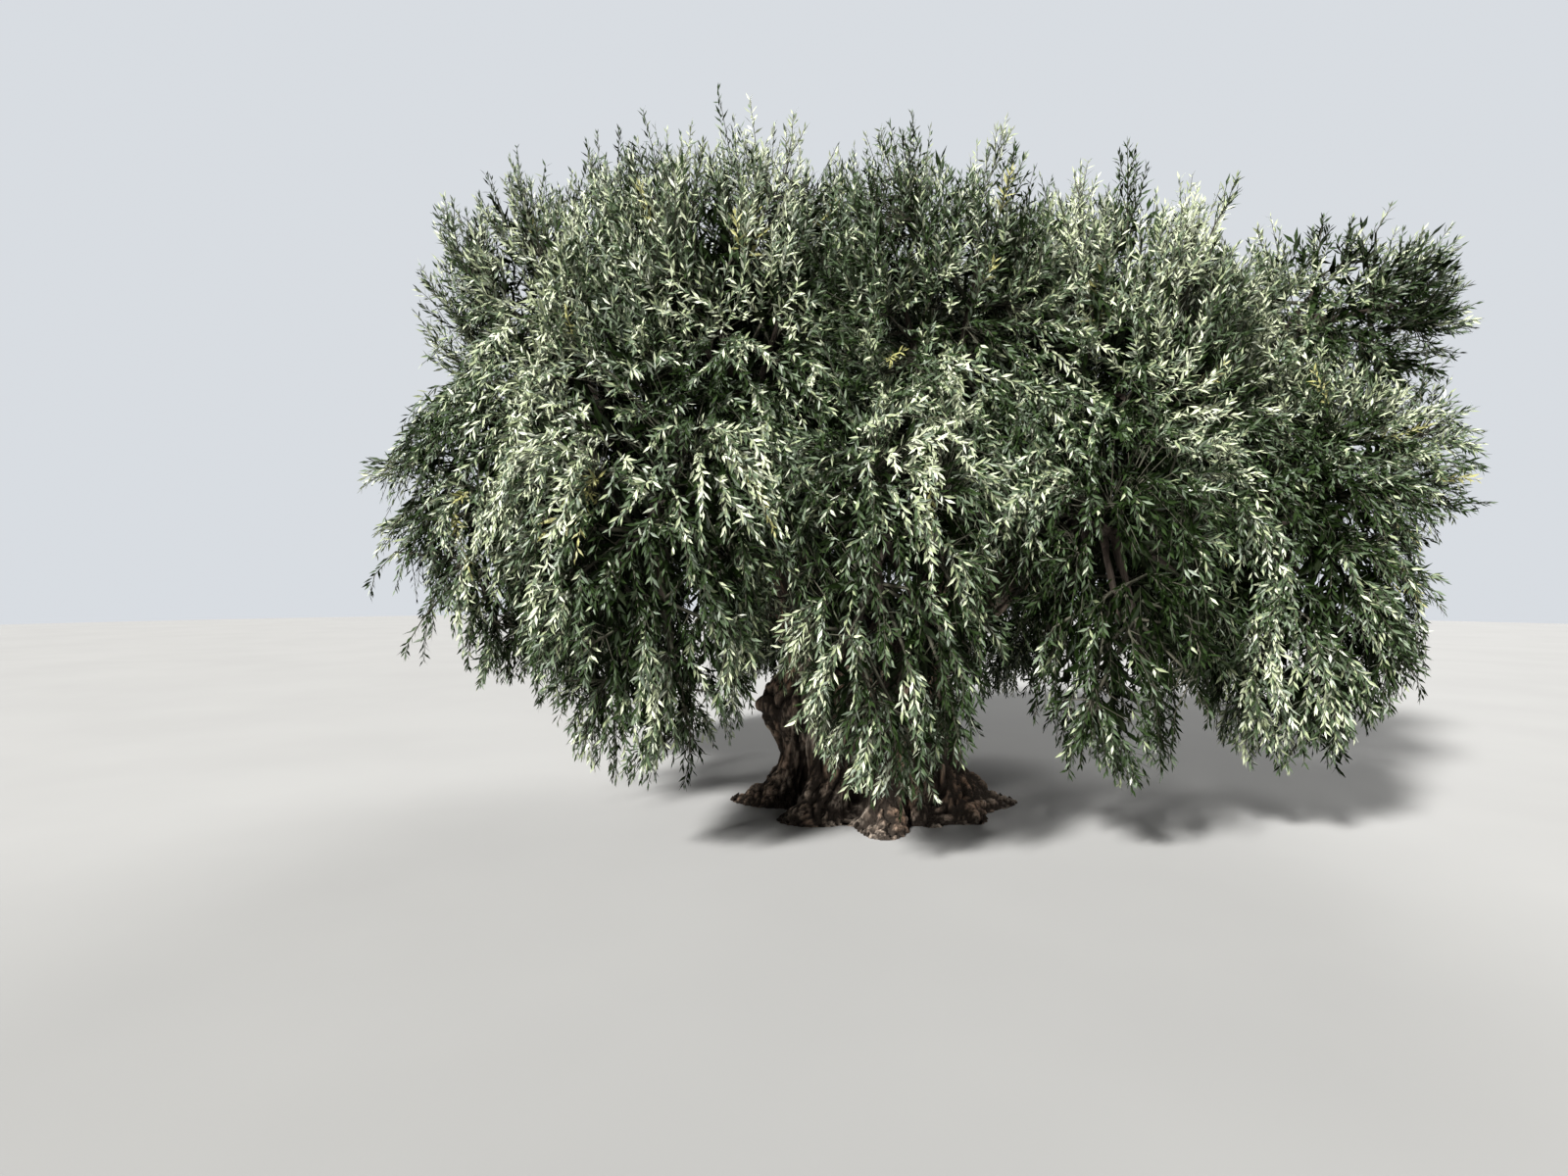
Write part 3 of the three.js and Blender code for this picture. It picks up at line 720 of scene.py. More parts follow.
def shoot_reach(points):
    """How deep in the crown the tips of most shoots lie: less in the hollows between its lumps."""
    hanging = lerp(*HANGING_REACH, smoothstep(points[:, 2], *SKIN_HEIGHTS[:2]))
    upright = lerp(*UPRIGHT_REACH, smoothstep(points[:, 2], *TOP_HEIGHTS))
    reach = lerp(hanging, upright, upright_share(points)) + LUMP_DEPTH * np.minimum(lump(points), 0)
    for place, width, depth in CROWN_HOLLOWS:
        reach = reach - depth * bell(np.linalg.norm((points - place) / width, axis=1), 1)
    return reach


def columns(points, width):
    """Above 0 in some upright columns of the crown, below 0 between them."""
    return lump(points * COLUMN_SHAPE / width + COLUMN_PATTERN)


def hem_share(points):
    """1 in the hems, 0 above them."""
    return 1 - smoothstep(points[:, 2], *HEM_HEIGHTS)


def layer_points(layer, rng):
    """Points spread evenly through one layer under the skin of the crown."""
    low = np.min([mass.middle - mass.half for mass in masses], 0)
    high = np.max([mass.middle + mass.half for mass in masses], 0)
    axes = [np.arange(a, b, layer["spacing"]) for a, b in zip(low, high)]
    grid = np.stack(np.meshgrid(*axes, indexing="ij"), -1).reshape(-1, 3)
    points = grid + layer["spacing"] * rng.uniform(-0.5, 0.5, grid.shape)
    share = crown_depth(points) / shoot_reach(points)
    points = points[(share > layer["starts"][0]) & (share < layer["starts"][1])]
    high_up = 1 - hem_share(points)
    under = high_up * (crown_outward(points)[:, 2] < UNDER_SLOPE)
    alone = from_masses(points, [LONE_FULLNESS.get(mass.name, 1) for mass in masses])
    fullness = lerp(1, CROWN_FULLNESS * alone, high_up) * lerp(1, UNDER_FULLNESS, under)
    return points[rng.random(len(points)) < fullness]


def from_masses(points, values):
    """One value for each mass, blended softly in and between the masses."""
    weights = np.stack([np.exp(-MASS_FADE * mass.box_depth(points)) for mass in masses])
    return np.array(values, float) @ weights / weights.sum(0)


def nearest_of(places, points):
    """The number of the place that is nearest to each point."""
    tree = kdtree.KDTree(len(places))
    for i, place in enumerate(places):
        tree.insert(place, i)
    tree.balance()
    return np.array([tree.find(point)[1] for point in points])


def nearest_twig(points):
    """For each point, the nearest place on any mass's twigs."""
    places = np.concatenate([
        mass.twigs.point(np.full(len(mass.twigs.foot), share)) for mass in masses for share in TWIG_PLACES])
    return places[nearest_of(places, points)]


def layer_shoots(layer, rng):
    """Shoots that grow from the twigs to fill one layer of the crown, and how much of each is bare."""
    base = layer_points(layer, rng)
    count = len(base)
    outward = crown_outward(base)
    upright = upright_share(base)
    spreading = from_masses(base, [mass.habit["outward"] >= 1 for mass in masses])
    heading = outward * lerp(SHOOT_OUTWARD, 1, spreading)[:, None]
    heading = heading + UP * (lerp(-1, 1, upright) * lerp(1, SPREADING_UPWARD, spreading))[:, None]
    scatter = SHOOT_SCATTER * (1 - STRAIGHTER * np.maximum(hem_share(base), upright))
    heading = unit(heading + scatter[:, None] * rng.uniform(-1, 1, (count, 3)) * SCATTER_SHAPE)
    pushed = np.maximum(0, SHOOT_LEAST_OUTWARD - (heading * outward).sum(-1))
    heading = unit(heading + outward * pushed[:, None])
    wanted = lerp(rng.uniform(*layer["hanging"], count), rng.uniform(*layer["upright"], count), upright)
    reach = shoot_reach(base) * layer["reach"]
    clump = smoothstep(columns(base, CLUMP_WIDTH), *CLUMP_EDGE)
    on_its_own = rng.random(count) ** LONE_TALL_POWER
    in_clump = clump * rng.random(count) ** CLUMP_TALL_POWER
    taller = upright * np.maximum(on_its_own, in_clump)
    reach = lerp(reach, np.maximum(reach, TALLEST_REACH), taller)
    between = 1 - smoothstep(columns(base, STRAND_WIDTH), *STRAND_EDGE)
    reach = reach - STRAND_SHORTER * hem_share(base) * between * rng.random(count)
    length = fitted(base, heading, wanted, reach)
    foot = nearest_twig(base)
    tip = base + heading * length[:, None]
    crest = base + (outward * SHOOT_BOW - heading * SHOOT_BACK) * length[:, None]
    stalk = np.linalg.norm(base - foot, axis=1)
    kept = length > SHOOT_LEAST
    return Curve(foot, crest, tip).picked(kept), (STALK_BARE * stalk / (stalk + length))[kept]


def tall_plumes(rng):
    """Slim plumes on long stalks, and how much of each shoot is bare."""
    tip = np.concatenate((TALL_TIPS, np.add(TALL_TIPS, TALL_FELLOW)))
    tip = tip[crown_depth(tip) < TALL_OUTSIDE]
    lean = unit(tip * (1, 1, 0)) * TALL_LEAN + rng.uniform(-TALL_WAVER, TALL_WAVER, tip.shape)
    base = tip - UP * TALL_HEIGHT - lean
    foot = nearest_twig(base)
    stalk = np.linalg.norm(base - foot, axis=1)
    leaders = Curve(foot, base, tip)
    sides = plume_shoots(leaders, TALL_SHARES, TALL_OPENING, rng)
    stalk_share = STALK_BARE * stalk / (stalk + TALL_HEIGHT)
    bare = np.concatenate((stalk_share, np.full(len(sides.foot), SIDE_BARE)))
    return joined((leaders, sides)), bare


def limb_shoots(curve, count, rng):
    """Shoots that leave a limb on its upper side and arch over."""
    share = lerp(LIMB_SHOOTS_FROM, 1.0, (np.arange(count) + rng.random(count)) / count)
    on = Curve(*(np.repeat(part[None], count, 0) for part in (curve.foot, curve.crest, curve.end)))
    foot = on.point(share)
    along = on.heading(share)
    side = unit(np.cross(along, UP)) * rng.uniform(-1, 1, count)[:, None]
    out = unit(side + UP * rng.uniform(*LIMB_SHOOT_UPWARD, count)[:, None] + along * LIMB_SHOOT_ALONG)
    length = fitted(foot, out, rng.uniform(*LIMB_SHOOT_LENGTH, count), LIMB_SHOOT_REACH)
    tip = foot + (out - UP * LIMB_SHOOT_DROOP) * length[:, None]
    crest = foot + out * (LIMB_SHOOT_CREST * length)[:, None]
    return Curve(foot, crest, tip).picked(length > SHOOT_LEAST)


def grow_shoots(rng):
    """All the shoots of the crown, how much of each is bare, and which ones are in its heart."""
    batches = []
    for mass in masses:
        plumes = plume_shoots(mass.leaders, PLUME_SHARES, PLUME_OPENING, rng)
        on_limb = limb_shoots(mass.limb, LIMB_SHOOTS, rng)
        for curves, share in ((mass.leaders, LEADER_BARE), (plumes, SIDE_BARE), (on_limb, LIMB_SHOOT_BARE)):
            batches.append((curves, np.full(len(curves.foot), share), False))
    batches.append((*tall_plumes(rng), False))
    batches.append((*layer_shoots(OUTER_LAYER, rng), False))
    batches.append((*layer_shoots(INNER_LAYER, rng), True))
    curves, bare, in_heart = zip(*batches)
    inner = [np.full(len(share), heart) for share, heart in zip(bare, in_heart)]
    return joined(curves), np.concatenate(bare), np.concatenate(inner)


def tone_of(middle, outward, inner, rng):
    """How light each shoot's leaves are painted, from 0 in painted shade to 1 in painted full light: painted
    light and shade by its place, its lump and its mass, and a random tone by chance.
    """
    depth = np.clip(crown_depth(middle), 0, 1)
    light = outward @ unit(LIGHT_SIDE)
    place = TONE["depth"] * (depth - TONE_DEPTH) + TONE["side"] * light
    habit = TONE["upright"] * upright_share(middle) + TONE["hem"] * hem_share(middle)
    lumps = TONE["lump"] * lump(middle) + TONE["broad_lump"] * lump(middle * BROADER + TONE_PATTERN)
    chance = rng.normal(TONE["middle"], TONE["chance"], len(middle))
    tone = place + habit + lumps + chance + from_masses(middle, [mass.light for mass in masses])
    # Painted shade: the leaves in the heart of the crown are darker.
    return tone * np.where(inner, INNER_TONE, 1)


# Leaves.


def leaves_on(curves, bare, outward, inner, rng):
    """The places, headings, upper sides and sizes of the leaves on shoots, and each leaf's shoot."""
    count = len(curves.foot)
    length = np.linalg.norm(curves.end - curves.point(bare), axis=1)
    spacing = np.where(inner, INNER_SPACING, PAIR_SPACING)
    pairs = np.maximum(3, np.round(length / spacing)).astype(int)
    shoot = np.repeat(np.arange(count), 2 * pairs)
    place = np.arange(len(shoot)) - np.repeat(np.cumsum(2 * pairs) - 2 * pairs, 2 * pairs)
    pair = place // 2
    along_shoot = (pair + 0.6 + rng.uniform(-LEAF_SLIP, LEAF_SLIP, len(shoot))) / pairs[shoot]
    share = lerp(bare[shoot], 1, np.clip(along_shoot, 0, 1))
    on = curves.picked(shoot)
    point = on.point(share)
    stem = on.heading(share)
    first, second = side_vectors(stem)
    phase = rng.uniform(0, 2 * math.pi, count)[shoot]
    angle = phase + pair * math.pi / 2 + (place % 2) * math.pi + rng.normal(0, LEAF_TURN, len(shoot))
    side = first * np.cos(angle)[:, None] + second * np.sin(angle)[:, None]
    opening = rng.normal(LEAF_OPENING, LEAF_OPENING_SPREAD, len(shoot))
    opening = opening - LEAF_CLOSING * smoothstep(along_shoot, CLOSING_FROM, 1)
    along = stem * np.cos(opening)[:, None] + side * np.sin(opening)[:, None]
    along = unit(along - UP * rng.uniform(0, LEAF_DROOP, len(shoot))[:, None])
    stemward = stem * np.sin(opening)[:, None] - side * np.cos(opening)[:, None]
    shown = np.where(rng.random(len(shoot)) < UPPER_SHOWN, 1.0, -1.0)[:, None]
    upper = stemward * LEAF_FACING["stem"] + outward[shoot] * shown * LEAF_FACING["outward"]
    upper = upper + unit(LIGHT_SIDE) * LEAF_FACING["light"]
    upper = unit(upper + rng.normal(0, LEAF_FACING["chance"], (len(shoot), 3)))
    tapering = 1 - TIP_LEAF_SMALLER * smoothstep(along_shoot, SMALLER_FROM, 1)
    size = np.where(inner[shoot], INNER_SIZE, 1.0) * tapering
    return point, along, upper, size * rng.uniform(*LEAF_SIZES, len(shoot)), shoot


def tints_of(tone, shoot, inner, rng):
    """The number of each leaf's tint: by its shoot's painted light and shade, and a little by chance."""
    spread = rng.normal(0, TINT_SPREAD, len(shoot)) * ~inner[shoot]
    tint = np.searchsorted(TINT_LIMITS, tone[shoot] + spread)
    tint[(rng.random(len(tone)) < YELLOW_SHARE)[shoot]] = len(TINTS) - 1
    return tint


# Meshes and geometry nodes.


def new_tree(name, kind, inputs, outputs):
    """A node tree with named inputs and outputs, each as (name, socket type, default)."""
    tree = bpy.data.node_groups.new(name, kind)
    for label, socket, default in inputs:
        made = tree.interface.new_socket(label, in_out="INPUT", socket_type=socket)
        if default is not None:
            made.default_value = default
    for label, socket in outputs:
        tree.interface.new_socket(label, in_out="OUTPUT", socket_type=socket)
    return tree, tree.nodes.new("NodeGroupInput").outputs, tree.nodes.new("NodeGroupOutput").inputs


def add(tree, kind, feeds=None, **settings):
    """Adds a node. Feeds are its inputs by name or number: a value, or another node's output."""
    made = tree.nodes.new(kind)
    for key, value in settings.items():
        setattr(made, key, value)
    for key, value in (feeds or {}).items():
        if isinstance(value, bpy.types.NodeSocket):
            tree.links.new(value, made.inputs[key])
        else:
            made.inputs[key].default_value = value
    return made


def named(tree, name, kind):
    """A named attribute in a geometry tree."""
    return add(tree, "GeometryNodeInputNamedAttribute", {"Name": name}, data_type=kind).outputs["Attribute"]


def mesh_from(name, points, edges=(), faces=()):
    mesh = bpy.data.meshes.new(name)
    mesh.from_pydata(np.asarray(points).tolist(), list(edges), [tuple(face) for face in faces])
    mesh.update()
    return mesh


def set_attribute(mesh, name, values, kind):
    values = np.asarray(values, np.float32)
    attribute = mesh.attributes.new(name, kind, "POINT")
    attribute.data.foreach_set("vector" if kind == "FLOAT_VECTOR" else "value", values.ravel())


def settled(name, mesh, tree, inputs):
    """The piece that a geometry tree makes out of a mesh, as a plain mesh with no modifier left."""
    piece = bpy.data.objects.new(name, mesh)
    bpy.context.scene.collection.objects.link(piece)
    modifier = piece.modifiers.new(tree.name, "NODES")
    modifier.node_group = tree
    identifiers = {item.name: item.identifier for item in tree.interface.items_tree if item.in_out == "INPUT"}
    for label, value in inputs.items():
        modifier[identifiers[label]] = value
    graph = bpy.context.evaluated_depsgraph_get()
    grown = piece.evaluated_get(graph)
    made = bpy.data.meshes.new_from_object(grown, preserve_all_data_layers=True, depsgraph=graph)
    piece.modifiers.remove(modifier)
    piece.data = made
    made.name = name
    bpy.data.meshes.remove(mesh)
    return piece


def end_tree(tree, geometry, material, out):
    """Makes whatever is placed in a geometry tree real, gives it its material and hands it on."""
    real = add(tree, "GeometryNodeRealizeInstances", {0: geometry})
    finished = add(tree, "GeometryNodeSetMaterial", {0: real.outputs[0], "Material": material})
    tree.links.new(finished.outputs[0], out[0])


def leaf_tree():
    """Sets a leaf on every point, by its heading and the way its upper side faces."""
    tree, given, out = new_tree("leaves_in_pairs", "GeometryNodeTree", (
        ("Geometry", "NodeSocketGeometry", None),
        ("Leaf", "NodeSocketObject", None),
        ("Leaf length", "NodeSocketFloat", LEAF_LENGTH),
        ("Leaf width", "NodeSocketFloat", LEAF_WIDTH),
        ("Material", "NodeSocketMaterial", None),
    ), (("Geometry", "NodeSocketGeometry"),))
    leaf = add(tree, "GeometryNodeObjectInfo", {"Object": given["Leaf"]})
    turn = add(tree, "FunctionNodeAxesToRotation", {
        "Primary Axis": named(tree, "leaf_along", "FLOAT_VECTOR"),
        "Secondary Axis": named(tree, "leaf_upper", "FLOAT_VECTOR"),
    }, primary_axis="Y", secondary_axis="Z")
    shape = add(tree, "ShaderNodeCombineXYZ", {
        "X": given["Leaf width"], "Y": given["Leaf length"], "Z": given["Leaf length"]})
    scale = add(tree, "ShaderNodeVectorMath", {
        0: shape.outputs[0], "Scale": named(tree, "leaf_size", "FLOAT")}, operation="SCALE")
    placed = add(tree, "GeometryNodeInstanceOnPoints", {
        "Points": given["Geometry"], "Instance": leaf.outputs["Geometry"],
        "Rotation": turn.outputs[0], "Scale": scale.outputs[0]})
    end_tree(tree, placed.outputs[0], given["Material"], out)
    return tree


def shoot_tree():
    """Makes a slim, many-sided rod along every line, as thick as each point says."""
    tree, given, out = new_tree("slim_shoots", "GeometryNodeTree", (
        ("Geometry", "NodeSocketGeometry", None),
        ("Sides", "NodeSocketInt", 3),
        ("Material", "NodeSocketMaterial", None),
    ), (("Geometry", "NodeSocketGeometry"),))
    line = add(tree, "GeometryNodeMeshToCurve", {0: given["Geometry"]})
    ring = add(tree, "GeometryNodeCurvePrimitiveCircle", {"Resolution": given["Sides"], "Radius": 1.0})
    rod = add(tree, "GeometryNodeCurveToMesh", {
        "Curve": line.outputs[0], "Profile Curve": ring.outputs["Curve"],
        "Scale": named(tree, "thickness", "FLOAT"), "Fill Caps": True})
    end_tree(tree, rod.outputs[0], given["Material"], out)
    return tree


def relief_tree():
    """Carves ridges, cracks and lumps into wood, along its grain, and keeps how deep each place lies."""
    tree, given, out = new_tree("bark_relief", "GeometryNodeTree", (
        ("Geometry", "NodeSocketGeometry", None),
        ("Ridge depth", "NodeSocketFloat", 0.06),
        ("Ridge scale", "NodeSocketFloat", 6.0),
        ("Plate depth", "NodeSocketFloat", 0.016),
        ("Plate scale", "NodeSocketFloat", 19.0),
        ("Lump depth", "NodeSocketFloat", 0.05),
        ("Lump scale", "NodeSocketFloat", 2.6),
        ("Material", "NodeSocketMaterial", None),
    ), (("Geometry", "NodeSocketGeometry"),))

    def math_node(operation, a, b):
        return add(tree, "ShaderNodeMath", {0: a, 1: b}, operation=operation).outputs[0]

    def noise_value(vector, scale, detail):
        return add(tree, "ShaderNodeTexNoise", {
            "Vector": vector, "Scale": scale, "Detail": detail, "Roughness": 0.55}).outputs["Fac"]

    def ridged(value):
        """Turns soft noise into sharp creases: 0 in a crease, 1 away from it."""
        far = math_node("ABSOLUTE", math_node("SUBTRACT", value, 0.5), 0.0)
        grown = math_node("MULTIPLY", far, 6.4)
        return math_node("MINIMUM", math_node("POWER", grown, 0.6), 1.0)

    grain = named(tree, "bark_grain", "FLOAT_VECTOR")
    ridge = ridged(noise_value(grain, given["Ridge scale"], 2.0))
    plate = ridged(noise_value(grain, given["Plate scale"], 2.5))
    position = add(tree, "GeometryNodeInputPosition").outputs[0]
    lumps = math_node("SUBTRACT", noise_value(position, given["Lump scale"], 2.0), 0.5)
    sunk = math_node("MULTIPLY", math_node("SUBTRACT", ridge, 0.8), given["Ridge depth"])
    chipped = math_node("MULTIPLY", math_node("SUBTRACT", plate, 0.8), given["Plate depth"])
    swollen = math_node("MULTIPLY", lumps, given["Lump depth"])
    raised = math_node("ADD", math_node("ADD", sunk, chipped), swollen)
    normal = add(tree, "GeometryNodeInputNormal").outputs[0]
    slope = add(tree, "ShaderNodeSeparateXYZ", {0: normal}).outputs["Z"]
    sides = math_node("GREATER_THAN", slope, -0.8)
    amount = math_node("MULTIPLY", math_node("MULTIPLY", raised, named(tree, "relief", "FLOAT")), sides)
    shift = add(tree, "ShaderNodeVectorMath", {0: normal, "Scale": amount}, operation="SCALE")
    height = add(tree, "ShaderNodeMath", {0: ridge, 1: plate}, operation="MULTIPLY").outputs[0]
    kept = add(tree, "GeometryNodeStoreNamedAttribute", {
        "Geometry": given["Geometry"], "Name": "crevice", "Value": height}, data_type="FLOAT", domain="POINT")
    carved = add(tree, "GeometryNodeSetPosition", {"Geometry": kept.outputs[0], "Offset": shift.outputs[0]})
    place = add(tree, "ShaderNodeSeparateXYZ", {0: add(tree, "GeometryNodeInputPosition").outputs[0]})
    above = add(tree, "ShaderNodeCombineXYZ", {
        "X": place.outputs[0], "Y": place.outputs[1], "Z": math_node("MAXIMUM", place.outputs[2], 0.0)})
    grounded = add(tree, "GeometryNodeSetPosition", {
        "Geometry": carved.outputs[0], "Position": above.outputs[0]})
    end_tree(tree, grounded.outputs[0], given["Material"], out)
    return tree


# Materials.


def bark_group():
    """Old bark: grey on its ridges, with warm patches, pale scurf and fine cracks, and painted shade that
    darkens its creases and cracks.
    """
    tree, given, out = new_tree("old_bark", "ShaderNodeTree", (
        ("Grain", "NodeSocketVector", None),
        ("Crevice", "NodeSocketFloat", 0.5),
        ("Ridge colour", "NodeSocketColor", (0.5, 0.42, 0.345, 1)),
        ("Painted crease shade", "NodeSocketColor", (0.03, 0.022, 0.016, 1)),
        ("Warm colour", "NodeSocketColor", (0.5, 0.3, 0.19, 1)),
        ("Warmth", "NodeSocketFloat", 0.5),
        ("Fine scale", "NodeSocketFloat", 34.0),
    ), (("Color", "NodeSocketColor"), ("Roughness", "NodeSocketFloat"), ("Height", "NodeSocketFloat")))

    def noise_value(scale, detail, vector):
        return add(tree, "ShaderNodeTexNoise", {
            "Vector": vector, "Scale": scale, "Detail": detail, "Roughness": 0.62}).outputs["Fac"]

    def ranged(value, low, high, to_low=0.0, to_high=1.0):
        limits = {"From Min": low, "From Max": high, "To Min": to_low, "To Max": to_high}
        return add(tree, "ShaderNodeMapRange", {"Value": value, **limits}).outputs[0]

    def product(a, b):
        return add(tree, "ShaderNodeMath", {0: a, 1: b}, operation="MULTIPLY").outputs[0]

    def mixed(factor, first, second, blend="MIX"):
        return add(tree, "ShaderNodeMix", {"Factor": factor, 6: first, 7: second},
                   data_type="RGBA", blend_type=blend).outputs[2]

    place = add(tree, "ShaderNodeTexCoord").outputs["Object"]
    fine = noise_value(given["Fine scale"], 6.0, given["Grain"])
    broad = noise_value(2.3, 3.0, place)
    cracks = add(tree, "ShaderNodeTexVoronoi", {
        "Vector": given["Grain"], "Scale": given["Fine scale"]}, feature="DISTANCE_TO_EDGE")
    crack = ranged(cracks.outputs["Distance"], 0.0, 0.12)
    warm = product(ranged(broad, 0.42, 0.68), given["Warmth"])
    ridge = mixed(warm, given["Ridge colour"], given["Warm colour"])
    speckled = mixed(ranged(fine, 0.35, 0.72), (0.35, 0.34, 0.33, 1), (1.5, 1.48, 1.44, 1))
    ridge = mixed(1.0, ridge, speckled, "MULTIPLY")
    scurf = ranged(noise_value(23.0, 4.0, place), 0.58, 0.74, 0.0, 0.25)
    ridge = mixed(scurf, ridge, (0.34, 0.33, 0.29, 1))
    # Painted shade: the creases of the relief and the fine cracks are darkened towards the crease colour.
    raised = product(ranged(given["Crevice"], 0.25, 0.95), ranged(crack, 0, 1, 0.45, 1))
    colour = mixed(raised, given["Painted crease shade"], ridge)
    height = add(tree, "ShaderNodeMath", {0: fine, 1: crack, 2: 0.4}, operation="MULTIPLY_ADD")
    tree.links.new(colour, out["Color"])
    tree.links.new(ranged(fine, 0.2, 0.8, 0.98, 0.8), out["Roughness"])
    tree.links.new(height.outputs[0], out["Height"])
    return tree


def new_material(name, gloss):
    """A material, its node tree and its shader's inputs."""
    material = bpy.data.materials.new(name)
    material.use_nodes = True
    shader = material.node_tree.nodes["Principled BSDF"].inputs
    shader["Specular IOR Level"].default_value = gloss
    return material, material.node_tree, shader


def bark_material(name, group, values, bump):
    """Bark that follows the grain kept in the mesh."""
    material, tree, shader = new_material(name, gloss=0.25)
    skin = tree.nodes.new("ShaderNodeGroup")
    skin.node_tree = group
    for label, value in values.items():
        skin.inputs[label].default_value = value
    grain = add(tree, "ShaderNodeAttribute", attribute_name="bark_grain")
    crevice = add(tree, "ShaderNodeAttribute", attribute_name="crevice")
    tree.links.new(grain.outputs["Vector"], skin.inputs["Grain"])
    tree.links.new(crevice.outputs["Fac"], skin.inputs["Crevice"])
    relief = add(tree, "ShaderNodeBump", {
        "Height": skin.outputs["Height"], "Strength": 0.7, "Distance": bump})
    tree.links.new(skin.outputs["Color"], shader["Base Color"])
    tree.links.new(skin.outputs["Roughness"], shader["Roughness"])
    tree.links.new(relief.outputs["Normal"], shader["Normal"])
    return material


def leaf_material(name, upper, under, gloss):
    """A leathery leaf with a pale felted under side."""
    material, tree, shader = new_material(name, gloss)
    behind = add(tree, "ShaderNodeNewGeometry").outputs["Backfacing"]
    sides = add(tree, "ShaderNodeMix", {"Factor": behind, 6: (*upper, 1), 7: (*under, 1)}, data_type="RGBA")
    tree.links.new(sides.outputs[2], shader["Base Color"])
    shader["Roughness"].default_value = 0.45
    return material


def mottled_material(name, first, second, scale, roughness):
    """Two close colours in soft patches."""
    material, tree, shader = new_material(name, gloss=0.2)
    place = add(tree, "ShaderNodeTexCoord").outputs["Object"]
    patches = add(tree, "ShaderNodeTexNoise", {"Vector": place, "Scale": scale, "Detail": 3.0}).outputs["Fac"]
    share = add(tree, "ShaderNodeMapRange", {"Value": patches, "From Min": 0.35, "From Max": 0.65}).outputs[0]
    colour = add(tree, "ShaderNodeMix", {"Factor": share, 6: (*first, 1), 7: (*second, 1)}, data_type="RGBA")
    tree.links.new(colour.outputs[2], shader["Base Color"])
    shader["Roughness"].default_value = roughness
    return material


# The wood.


def trunk_radius(angle, height):
    radius = WAIST_RADIUS - NECK_IN * smoothstep(height, NECK_FROM, NECK_TO)
    radius = radius + FLARE * np.exp(-height / FLARE_FADE)
    for degrees, out in ROOTS:
        root = math.radians(degrees)
        radius = radius + out * np.exp(-height / ROOT_FADE) * bell(angle_between(angle, root), ROOT_WIDTH)
        radius = radius + RIDGE_OUT * bell(angle_between(angle, root + RIDGE_TURN * height), RIDGE_WIDTH)
    for degrees, middle, out, width, tall in BURLS:
        off = angle_between(angle, math.radians(degrees))
        radius = radius + out * bell(off, width) * bell(height - middle, tall)
    for degrees, middle, depth, width, tall in HOLLOWS:
        off = angle_between(angle, math.radians(degrees) + RIDGE_TURN * height)
        radius = radius - depth * bell(off, width) * bell(height - middle, tall)
    dome = np.maximum(0, (height - DOME_FROM) / (TRUNK_TOP - DOME_FROM))
    return radius * np.maximum(DOME_LEAST, np.sqrt(np.maximum(0, 1 - dome * dome)))


def grid_faces(rings, sides):
    """The faces of a closed tube of rings, with a fan at each end."""
    ring, side = np.meshgrid(np.arange(rings - 1), np.arange(sides), indexing="ij")
    here = ring * sides + side
    beside = ring * sides + (side + 1) % sides
    walls = np.stack((here, beside, beside + sides, here + sides), -1).reshape(-1, 4).tolist()
    last = rings * sides
    first_cap = [(last, (i + 1) % sides, i) for i in range(sides)]
    top = (rings - 1) * sides
    second_cap = [(last + 1, top + i, top + (i + 1) % sides) for i in range(sides)]
    return walls + first_cap + second_cap


def trunk_shell():
    """The trunk's points and faces, before the boughs are fused to it. Its grain is found later."""
    share = np.linspace(0, 1, TRUNK_RINGS)[:, None]
    height = TRUNK_TOP * share + 0 * np.zeros((1, TRUNK_SIDES))
    angle = np.linspace(0, 2 * math.pi, TRUNK_SIDES, endpoint=False)[None, :] + 0 * share
    radius = trunk_radius(angle, height)
    x = share * TRUNK_LEAN[0] + radius * np.cos(angle)
    y = share * TRUNK_LEAN[1] + radius * np.sin(angle)
    wall = np.stack((x, y, height), -1).reshape(-1, 3)
    points = np.concatenate((wall, ((0, 0, 0), (*TRUNK_LEAN, TRUNK_TOP))))
    return points, grid_faces(TRUNK_RINGS, TRUNK_SIDES), np.zeros_like(points)


def limb_frames(curve, share):
    """The heading of a curve at each share, with two directions square to it that don't twist."""
    along = curve.heading(share)
    across = np.cross(curve.end - curve.foot, UP)
    first = unit(across - (along @ across)[:, None] * along)
    return along, first, np.cross(along, first)


def run_along(points):
    """How far each point of a line lies from its first one, along the line."""
    return np.concatenate(((0,), np.cumsum(np.linalg.norm(np.diff(points, axis=0), axis=1))))


def tube(curve, radius, sides, share):
    """A round limb along a curve: its points, its faces and the grain at each point."""
    along, first, second = limb_frames(curve, share)
    centre = curve.point(share)
    angle = np.linspace(0, 2 * math.pi, sides, endpoint=False)
    ring = first[:, None] * np.cos(angle)[None, :, None] + second[:, None] * np.sin(angle)[None, :, None]
    wall = centre[:, None] + ring * radius[:, None, None]
    run = run_along(centre)
    flat = radius[:, None, None] * np.stack((np.cos(angle), np.sin(angle)), -1)[None]
    grain = np.concatenate((flat, np.repeat((run * GRAIN_STRETCH)[:, None, None], sides, 1)), -1)
    ends = np.stack((centre[0], centre[-1]))
    end_grain = np.array(((0, 0, 0), (0, 0, run[-1] * GRAIN_STRETCH)))
    points = np.concatenate((wall.reshape(-1, 3), ends))
    return points, grid_faces(len(share), sides), np.concatenate((grain.reshape(-1, 3), end_grain))


